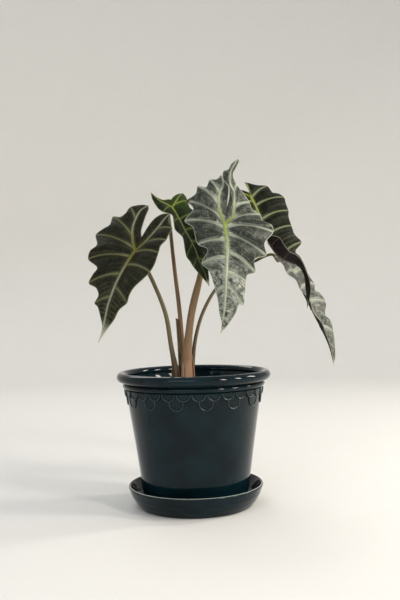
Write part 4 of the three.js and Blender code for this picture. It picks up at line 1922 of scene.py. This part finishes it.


# ------------------------------------------------------------------------------- plant


# The left, inner and back finishes are darkened copies of the front and right ones, with painted
# shade in their colours.
LEFT_FINISH = BladeFinish(
    "blade_left", deep="#0b0c04", light="#151708", silver="#55563f", rib="#6d6b2a",
    rib_end="#8c8c74", vein="#6c6d4a", margin="#74755a", net=0.45, halo=0.55, pale_tip=30.0,
    painted_sheen=0.35, minor=0.32, margin_width=1.3, shine=0.13,
)
INNER_FINISH = BladeFinish(
    "blade_inner", deep="#0a1105", light="#111a07", silver="#414e2a", rib="#6c7a2c",
    rib_end="#6c7850", vein="#59682c", margin="#6f7d3c", painted_backlight="#33480f", net=0.4, halo=0.3,
    shine=0.12,
)
FRONT_FINISH = BladeFinish(
    "blade_front", deep="#131811", light="#262c22", silver="#b3b9ac", rib="#8a9840",
    rib_end="#aab193", vein="#9ba28a", margin="#b0b59f", net=0.5, halo=0.7, painted_sheen=1.3,
    gloss=0.28, shine=0.22,
)
BACK_FINISH = BladeFinish(
    "blade_back", deep="#060804", light="#0b0e07", silver="#5a6144", rib="#7b8634",
    rib_end="#868d68", vein="#757c5e", margin="#8c907a", net=0.3, halo=0.35, shine=0.06,
)
RIGHT_FINISH = BladeFinish(
    "blade_right", deep="#10150e", light="#262c22", silver="#b2b8ac", rib="#858e58",
    rib_end="#a0a693", vein="#969c8a", margin="#a9ad9e", net=0.5, halo=0.5, painted_sheen=0.5,
    shine=0.25,
)

LEFT_BLADE = Blade(
    name="left",
    slot="blade_dark",
    finish=LEFT_FINISH,
    junction=(-63, -22, 295),
    droop=65,
    roll=37,
    heading=-61,
    rib_end=1.0,
    midrib=[(0, 0, 0), (-3, -14, 1), (-6, -41, 2), (-6, -68, 1), (-4, -89, -2), (-5, -112, -8)],
    sinus=(1, 18, 1),
    left=Half(
        lobe=[(0, 0, 0), (-9, 12, 0), (-16, 27, -1), (-18, 40, -3), (-18, 52, -6), (-13, 61, -9)],
        sinus_edge=[(-3, 25, 0), (-5, 34, -1), (-7, 46, -3), (-9, 56, -6)],
        outline=[
            edge(-6, -95, -5), edge(-12, -84, -2), edge(-18, -75, 1), vein(60, -26, -71, -2),
            edge(-22, -62, 3), edge(-28, -55, 3), vein(31, -44, -50, -2), edge(-40, -40, 3),
            edge(-37, -32, 4), vein(8, -58, -22, -2), edge(-57, -13, 2), edge(-50, -5, 4),
            vein(-3, -61, 9, -2), edge(-53, 17, 1), edge(-45, 23, 3), vein(-20, -49, 36, -3),
            edge(-38, 37, -1), edge(-32, 42, 1), vein(-43, -33, 53, -5), edge(-21, 60, -8),
        ],
    ),
    right=Half(
        lobe=[(0, 0, 0), (6, 8, 1), (12, 19, 2), (19, 33, 4), (23, 45, 4), (26, 52, 3)],
        sinus_edge=[(6, 33, 4), (11, 43, 5), (19, 50, 5)],
        outline=[
            edge(2, -96, -3), edge(9, -84, 2), edge(13, -72, 6), vein(48, 20, -63, 8),
            edge(21, -55, 11), edge(24, -45, 13), edge(31, -34, 14), vein(19, 35, -23, 12),
            edge(38, -14, 14), vein(2, 36, 1, 12), edge(36, 9, 13), vein(-13, 38, 18, 10),
            edge(39, 24, 11), vein(-36, 38, 34, 7), edge(31, 41, 7),
        ],
    ),
)

INNER_BLADE = Blade(
    name="inner",
    slot="blade_green",
    finish=INNER_FINISH,
    junction=(-21, 8, 348),
    droop=62,
    roll=-20,
    heading=54,
    midrib=[
        (0, 0, 0), (1, -15, 1), (1, -33, 2), (2, -56, 3), (1, -78, 2), (2, -94, 0), (4, -106, -4),
    ],
    sinus=(4, 11, 0),
    left=Half(
        lobe=[(0, 0, 0), (-4, 4, 0), (-11, 11, -1), (-15, 19, -2), (-16, 26, -4)],
        sinus_edge=[(1, 12, 0), (-7, 12, 0), (-13, 17, -1)],
        outline=[
            edge(-2, -99, 0), edge(-9, -93, 5), vein(70, -15, -84, 8), edge(-17, -77, 9),
            vein(53, -17, -70, 7), edge(-17, -61, 10), edge(-15, -53, 11), vein(36, -12, -44, 9),
            edge(-16, -39, 10), edge(-17, -34, 9), vein(16, -13, -24, 7), edge(-9, -12, 5),
            vein(-3, -17, -6, 3), edge(-20, 0, 1), edge(-20, 16, -2),
        ],
    ),
    right=Half(
        lobe=[(0, 0, 0), (5, 4, 1), (11, 9, 1), (19, 15, 0), (27, 19, -2)],
        sinus_edge=[(8, 14, 0), (12, 16, 0), (19, 18, 0)],
        outline=[
            edge(5, -99, 0), edge(8, -89, 2), vein(73, 16, -79, 1), edge(16, -69, 4),
            vein(49, 24, -59, 2), edge(20, -50, 5), vein(33, 30, -37, 3), edge(23, -27, 6),
            vein(18, 28, -14, 4), edge(22, -5, 4), vein(-4, 25, 5, 2), edge(27, 13, 0),
        ],
    ),
    dry=[Spot((-16, 24, -4), 7)],
    # Painted light shining through the right lobe.
    painted_backlight=[Spot((17, 6, 1), 24, 0.5)],
)

FRONT_BLADE = Blade(
    name="front",
    slot="blade_silver",
    finish=FRONT_FINISH,
    junction=(39, -42, 322),
    droop=80,
    roll=0,
    heading=0,
    quilt=0.1,
    midrib=[(0, 0, 0), (2, -21, 1), (1, -45, 2), (-1, -70, 1), (-3, -95, -3), (-8, -122, -12)],
    sinus=(3, 20, -2),
    left=Half(
        lobe=[(0, 0, 0), (-5, 14, 0), (-6, 30, -2), (-4, 39, -4), (0, 49, -8), (-2, 63, -14)],
        sinus_edge=[(5, 33, -4), (6, 45, -8), (3, 55, -10)],
        outline=[
            edge(-6, -114, -10), edge(-9, -99, -8), edge(-10, -88, -4), vein(72, -12, -77, -6),
            edge(-17, -59, -2), edge(-20, -51, -5), vein(40, -27, -43, -8), edge(-20, -29, -2),
            vein(19, -31, -21, -7), edge(-36, -3, -3), vein(4, -45, 7, -9), edge(-35, 19, -3),
            vein(-8, -42, 31, -10), edge(-32, 37, -4), vein(-26, -29, 48, -9), edge(-20, 45, -5),
            vein(-39, -15, 56, -11), edge(-7, 56, -10),
        ],
    ),
    right=Half(
        lobe=[
            (0, 0, 0), (9, 7, 0), (11, 21, -1), (12, 38, -2), (8, 46, -1), (8, 58, 2),
            (11, 65, 5), (17, 73, 10),
        ],
        sinus_edge=[(6, 32, -2), (6, 43, 0), (0, 52, -1), (0, 61, 2), (6, 63, 3), (9, 68, 6)],
        outline=[
            edge(-4, -118, -11), edge(2, -111, -9), edge(9, -101, -7), edge(13, -92, -4),
            vein(67, 18, -92, -9), edge(20, -80, -5), vein(56, 22, -64, -9), edge(23, -59, -4),
            vein(32, 33, -54, -10), edge(32, -41, -4), vein(11, 46, -35, -10), edge(44, -23, -4),
            vein(3, 55, -8, -9), edge(53, -1, -6), edge(43, 3, -3), vein(-9, 41, 12, -8),
            edge(32, 16, -3), vein(-24, 29, 27, -8), edge(20, 40, -4), vein(-42, 15, 47, -3),
            edge(11, 59, -2), edge(14, 64, 2), edge(18, 71, 7),
        ],
    ),
    dry=[Spot((-42, 31, -10), 6)],
)

BACK_BLADE = Blade(
    name="back",
    slot="blade_dark",
    finish=BACK_FINISH,
    junction=(74, 18, 360),
    droop=65,
    roll=-48,
    heading=75,
    midrib=[
        (0, 0, 0), (-1, -15, 1), (-3, -30, 2), (-7, -51, 2), (-5, -76, 1), (5, -88, 0),
        (19, -98, -2), (23, -110, -5), (20, -126, -10), (14, -149, -18),
    ],
    sinus=(1, 6, 0),
    left=Half(
        lobe=[(0, 0, 0), (-6, 8, -3), (-11, 14, -8), (-16, 17, -14)],
        sinus_edge=[(-1, 10, -3), (-5, 15, -7), (-11, 19, -11)],
        outline=[
            edge(18, -139, -9), edge(21, -130, -3), edge(21, -120, 2), vein(110, 20, -108, 6),
            edge(19, -97, 9), edge(13, -87, 12), vein(88, 5, -81, 14), edge(1, -72, 16),
            vein(66, 0, -61, 15), edge(-10, -56, 17), vein(43, -19, -48, 15), edge(-27, -37, 14),
            vein(20, -32, -24, 10), edge(-27, -12, 6), vein(6, -31, -4, 0), edge(-24, 7, -8),
        ],
    ),
    right=Half(
        lobe=[(0, 0, 0), (1, 7, 0), (5, 17, -3), (7, 23, -9)],
        sinus_edge=[(2, 12, -1), (4, 18, -4)],
        outline=[
            edge(18, -138, -13), edge(24, -124, -7), edge(27, -111, -3), vein(102, 27, -98, -1),
            edge(25, -89, 1), edge(22, -82, 1), vein(82, 39, -73, -2), edge(32, -61, 2),
            vein(52, 36, -50, -1), edge(35, -39, 3), vein(31, 43, -31, -2), edge(42, -22, 1),
            vein(12, 47, -13, -3), edge(41, -7, -1), edge(34, -3, -2), vein(1, 34, 8, -6),
            edge(20, 13, -5), edge(12, 19, -7),
        ],
    ),
    dry=[Spot((-16, 17, -14), 9)],
)

RIGHT_BLADE = Blade(
    name="right",
    slot="blade_silver",
    finish=RIGHT_FINISH,
    junction=(116, 50, 288),
    droop=65,
    roll=-15,
    heading=83,
    midrib=[
        (0, 0, 0), (0, -14, 1), (1, -35, 2), (4, -57, 1), (8, -82, 0), (13, -106, -1),
        (17, -124, -3), (19, -137, -6), (19, -149, -9),
    ],
    sinus=(1, 9, 0),
    left=Half(
        lobe=[(0, 0, 0), (-7, 12, 0), (-12, 24, -3), (-13, 34, -8)],
        sinus_edge=[(-3, 17, -1), (-8, 27, -4)],
        outline=[
            edge(15, -138, -5), edge(9, -124, 0), vein(102, 1, -108, 4), edge(-1, -94, 6),
            vein(72, -11, -76, 5), edge(-13, -60, 8), vein(44, -24, -44, 6), edge(-23, -32, 6),
            vein(20, -31, -20, 2), edge(-26, -8, 1), vein(3, -31, 4, -2), edge(-22, 12, 0),
            vein(-16, -25, 21, -4), edge(-18, 29, -5),
        ],
    ),
    right=Half(
        lobe=[(0, 0, 0), (8, 11, 0), (14, 23, -2), (18, 34, -6)],
        sinus_edge=[(6, 18, 0), (13, 29, -3)],
        outline=[
            edge(24, -138, -3), edge(29, -127, 1), vein(98, 38, -112, 5), edge(36, -98, 9),
            edge(31, -88, 7), vein(62, 46, -73, 12), edge(43, -62, 12), edge(33, -54, 9),
            vein(42, 43, -46, 10), edge(34, -36, 11), vein(22, 39, -25, 9), edge(31, -14, 7),
            vein(4, 34, -3, 5), edge(27, 7, 3), vein(-16, 28, 18, 0), edge(23, 28, -3),
        ],
    ),
)

BROWN_STALK = StalkFinish(
    "stalk_brown", foot="#ab866e", lower="#8c6b4a", middle="#765c34", top="#7c8746",
    streak="#5a4226",
)
OLIVE_STALK = StalkFinish(
    "stalk_olive", foot="#60463a", lower="#55452a", middle="#5b5224", top="#7b7b36",
    streak="#3a2f1a",
)


@dataclass
class Plant:
    """The plant: its corm, its stalks and its blades."""

    blades: Sequence[Blade] = (LEFT_BLADE, INNER_BLADE, FRONT_BLADE, BACK_BLADE, RIGHT_BLADE)

    def stalks(self) -> list:
        """Sets up the five stalks.

        Returns:
            The stalks, in the order of the blades.
        """
        left, inner, front, back, right = self.blades
        return [
            Stalk(
                left, "petiole_olive", (4.0, 2.8, 2.2),
                [
                    (-21, -1, 133.5), (-20.5, -1, 150), (-25.5, -1, 185), (-31, 0, 222),
                    (-44, 0, 258),
                ],
                [Wing(0, 172, 1.6, -30), Wing(110, 168, 4.0, 30)],
            ),
            Stalk(
                inner, "petiole_brown", (3.2, 2.7, 2.1),
                [(-12, 8, 133.5), (-11.5, 8, 156), (-14, 9, 215), (-20, 11, 280), (-23.5, 14, 322)],
            ),
            Stalk(
                front, "petiole_brown", (7.4, 4.4, 2.9),
                [
                    (-7.5, -4, 133.5), (-7.5, -4, 150), (-5.8, -3, 185), (-0.8, -2, 220),
                    (6.8, 1, 250), (14.5, 7, 278), (27, 9, 302),
                ],
                [Wing(205, 166, 3.5, 35), Wing(35, 176, 3.0, -30)],
            ),
            Stalk(
                back, "petiole_olive", (3.0, 2.6, 2.2),
                [
                    (-8, 16, 133.5), (-8, 17, 150), (-6, 17, 200), (3, 20, 245), (20, 32, 290),
                    (48, 46, 330),
                ],
                [Wing(-60, 160, 2.4, 30)],
            ),
            Stalk(
                right, "petiole_olive", (2.8, 2.2, 1.8),
                [
                    (0, 9, 133.5), (-1, 9, 152), (3, 12, 190), (14, 18, 225), (36, 30, 258),
                    (78, 46, 284), (103, 58, 293),
                ],
                [Wing(200, 163, 2.6, -30)],
            ),
        ]

    def build(self) -> None:
        """Builds and dresses the plant."""
        Corm().build()
        brown, olive = BROWN_STALK.material(), OLIVE_STALK.material()
        finishes = {"petiole_brown": brown, "petiole_olive": olive}
        stalks = self.stalks()
        for stalk in stalks:
            stalk.build(finishes[stalk.slot])
            stalk.blade.build([stalk.blade.finish.upper(), stalk.blade.finish.lower()])
        SheathLeaf(stalks[1]).build()


# ------------------------------------------------------------------------------ studio


@dataclass(frozen=True)
class SoftLight:
    """Large soft light, in metres."""

    name: str
    at: Point
    towards: Point
    size: Point
    power: float
    colour: str = "#ffffff"

    def build(self) -> None:
        """Hangs the light."""
        light = bpy.data.lights.new(self.name, "AREA")
        light.shape = "RECTANGLE"
        light.size, light.size_y = self.size
        light.energy = self.power
        light.color = tone(self.colour)[:3]
        lamp = bpy.data.objects.new(self.name, light)
        lamp.location = self.at
        away = Vector(self.at) - Vector(self.towards)
        lamp.rotation_euler = away.to_track_quat("Z", "Y").to_euler()
        lamp.visible_camera = False
        bpy.context.scene.collection.objects.link(lamp)


@dataclass
class Studio:
    """Plain pale floor that rises into a round backdrop, soft lights and the camera.

    The floor is in millimetres, and the place of the camera in metres.
    """

    floor_radius: float = 1500.0
    bend: float = 700.0
    wall_top: float = 2300.0
    floor_colour: str = "#dbdad6"
    floor_light: str = "#ffffff"
    sky: str = "#f2f5fa"
    sky_strength: float = 0.66
    camera_at: Point = (0.0, -0.876, 0.2285)
    lens: float = 44.76
    pitch: float = 0.6
    yaw: float = 0.63
    lean: float = 1.35

    def floor(self) -> None:
        """Lays the floor."""
        look = Look("floor_plain")
        rough = look.clouds(60, 2)
        material = look.finish(
            Base_Color=look.over(rough * 0.06, tone(self.floor_colour), tone(self.floor_light)),
            Roughness=0.75 + rough * 0.1,
        )
        bend = arc((self.floor_radius, self.bend), self.bend, (-90, 0), 20, lambda a: 0.0)
        top = Ring(self.floor_radius + self.bend, self.wall_top)
        rings = [Ring(0, 0), Ring(400, 0), *bend, top]
        shape = turned(rings, 96, closed=False)
        shape.faces = [tuple(reversed(face)) for face in shape.faces]
        shape.piece("floor", material)

    def camera(self) -> None:
        """Sets up the camera."""
        pitch, yaw, lean = (math.radians(a) for a in (self.pitch, self.yaw, self.lean))
        level = Vector((math.sin(yaw), math.cos(yaw), 0))
        side = Vector((math.cos(yaw), -math.sin(yaw), 0))
        ahead = level * math.cos(pitch) + Vector((0, 0, 1)) * math.sin(pitch)
        above = Vector((0, 0, 1)) * math.cos(pitch) - level * math.sin(pitch)
        right = side * math.cos(lean) - above * math.sin(lean)
        up = above * math.cos(lean) + side * math.sin(lean)
        lens = bpy.data.cameras.new("camera")
        lens.lens = self.lens
        lens.sensor_width = 36.0
        lens.clip_start = 0.01
        camera = bpy.data.objects.new("camera", lens)
        pose = Matrix((right, up, -ahead)).transposed().to_4x4()
        pose.translation = Vector(self.camera_at)
        camera.matrix_world = pose
        bpy.context.scene.collection.objects.link(camera)
        bpy.context.scene.camera = camera

    def lights(self) -> None:
        """Hangs the lights and sets the light of the room."""
        aim = (0.0, 0.0, 0.22)
        for light in (
            SoftLight("window_near", (1.05, -1.05, 0.95), aim, (0.2, 0.5), 10, "#fff6ea"),
            SoftLight("window_middle", (1.45, -0.45, 0.95), aim, (0.2, 0.5), 12, "#fff6ea"),
            SoftLight("window_far", (1.42, 0.35, 0.95), aim, (0.2, 0.5), 10, "#fff6ea"),
            SoftLight("front", (-0.5, -1.5, 1.1), aim, (1.2, 1.0), 7, "#eaf2ff"),
            SoftLight("back", (-0.6, 1.3, 1.4), aim, (1.2, 0.6), 8),
        ):
            light.build()
        world = bpy.data.worlds.new("room")
        world.use_nodes = True
        sky = world.node_tree.nodes["Background"]
        sky.inputs["Color"].default_value = tone(self.sky)
        sky.inputs["Strength"].default_value = self.sky_strength
        bpy.context.scene.world = world
        bpy.context.scene.view_settings.view_transform = "Standard"

    def build(self) -> None:
        """Builds the studio."""
        self.floor()
        self.camera()
        self.lights()


# ----------------------------------------------------------------------------- assembly


def place(piece: bpy.types.Object, slot: str, *nodes: str) -> None:
    """Fixes a piece to the object.

    Args:
        piece: The piece.
        slot: The material slot it takes its finish from; not used.
        nodes: The CAD nodes that it stands for.
    """
    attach(piece, BODY)
    if nodes:
        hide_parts(*nodes)
    LOG.info("%s: %d faces", piece.name, len(piece.data.polygons))


def main() -> None:
    """Builds the whole scene."""
    logging.basicConfig(level=logging.INFO, format="%(name)s: %(message)s")
    pot = Pot()
    Studio().build()
    Saucer().build(Glaze("saucer_glaze_deep").material())
    pot.build(Glaze("pot_glaze_deep").material())
    PottingMix(pot).build()
    Plant().build()


if __name__ == "__main__":
    main()
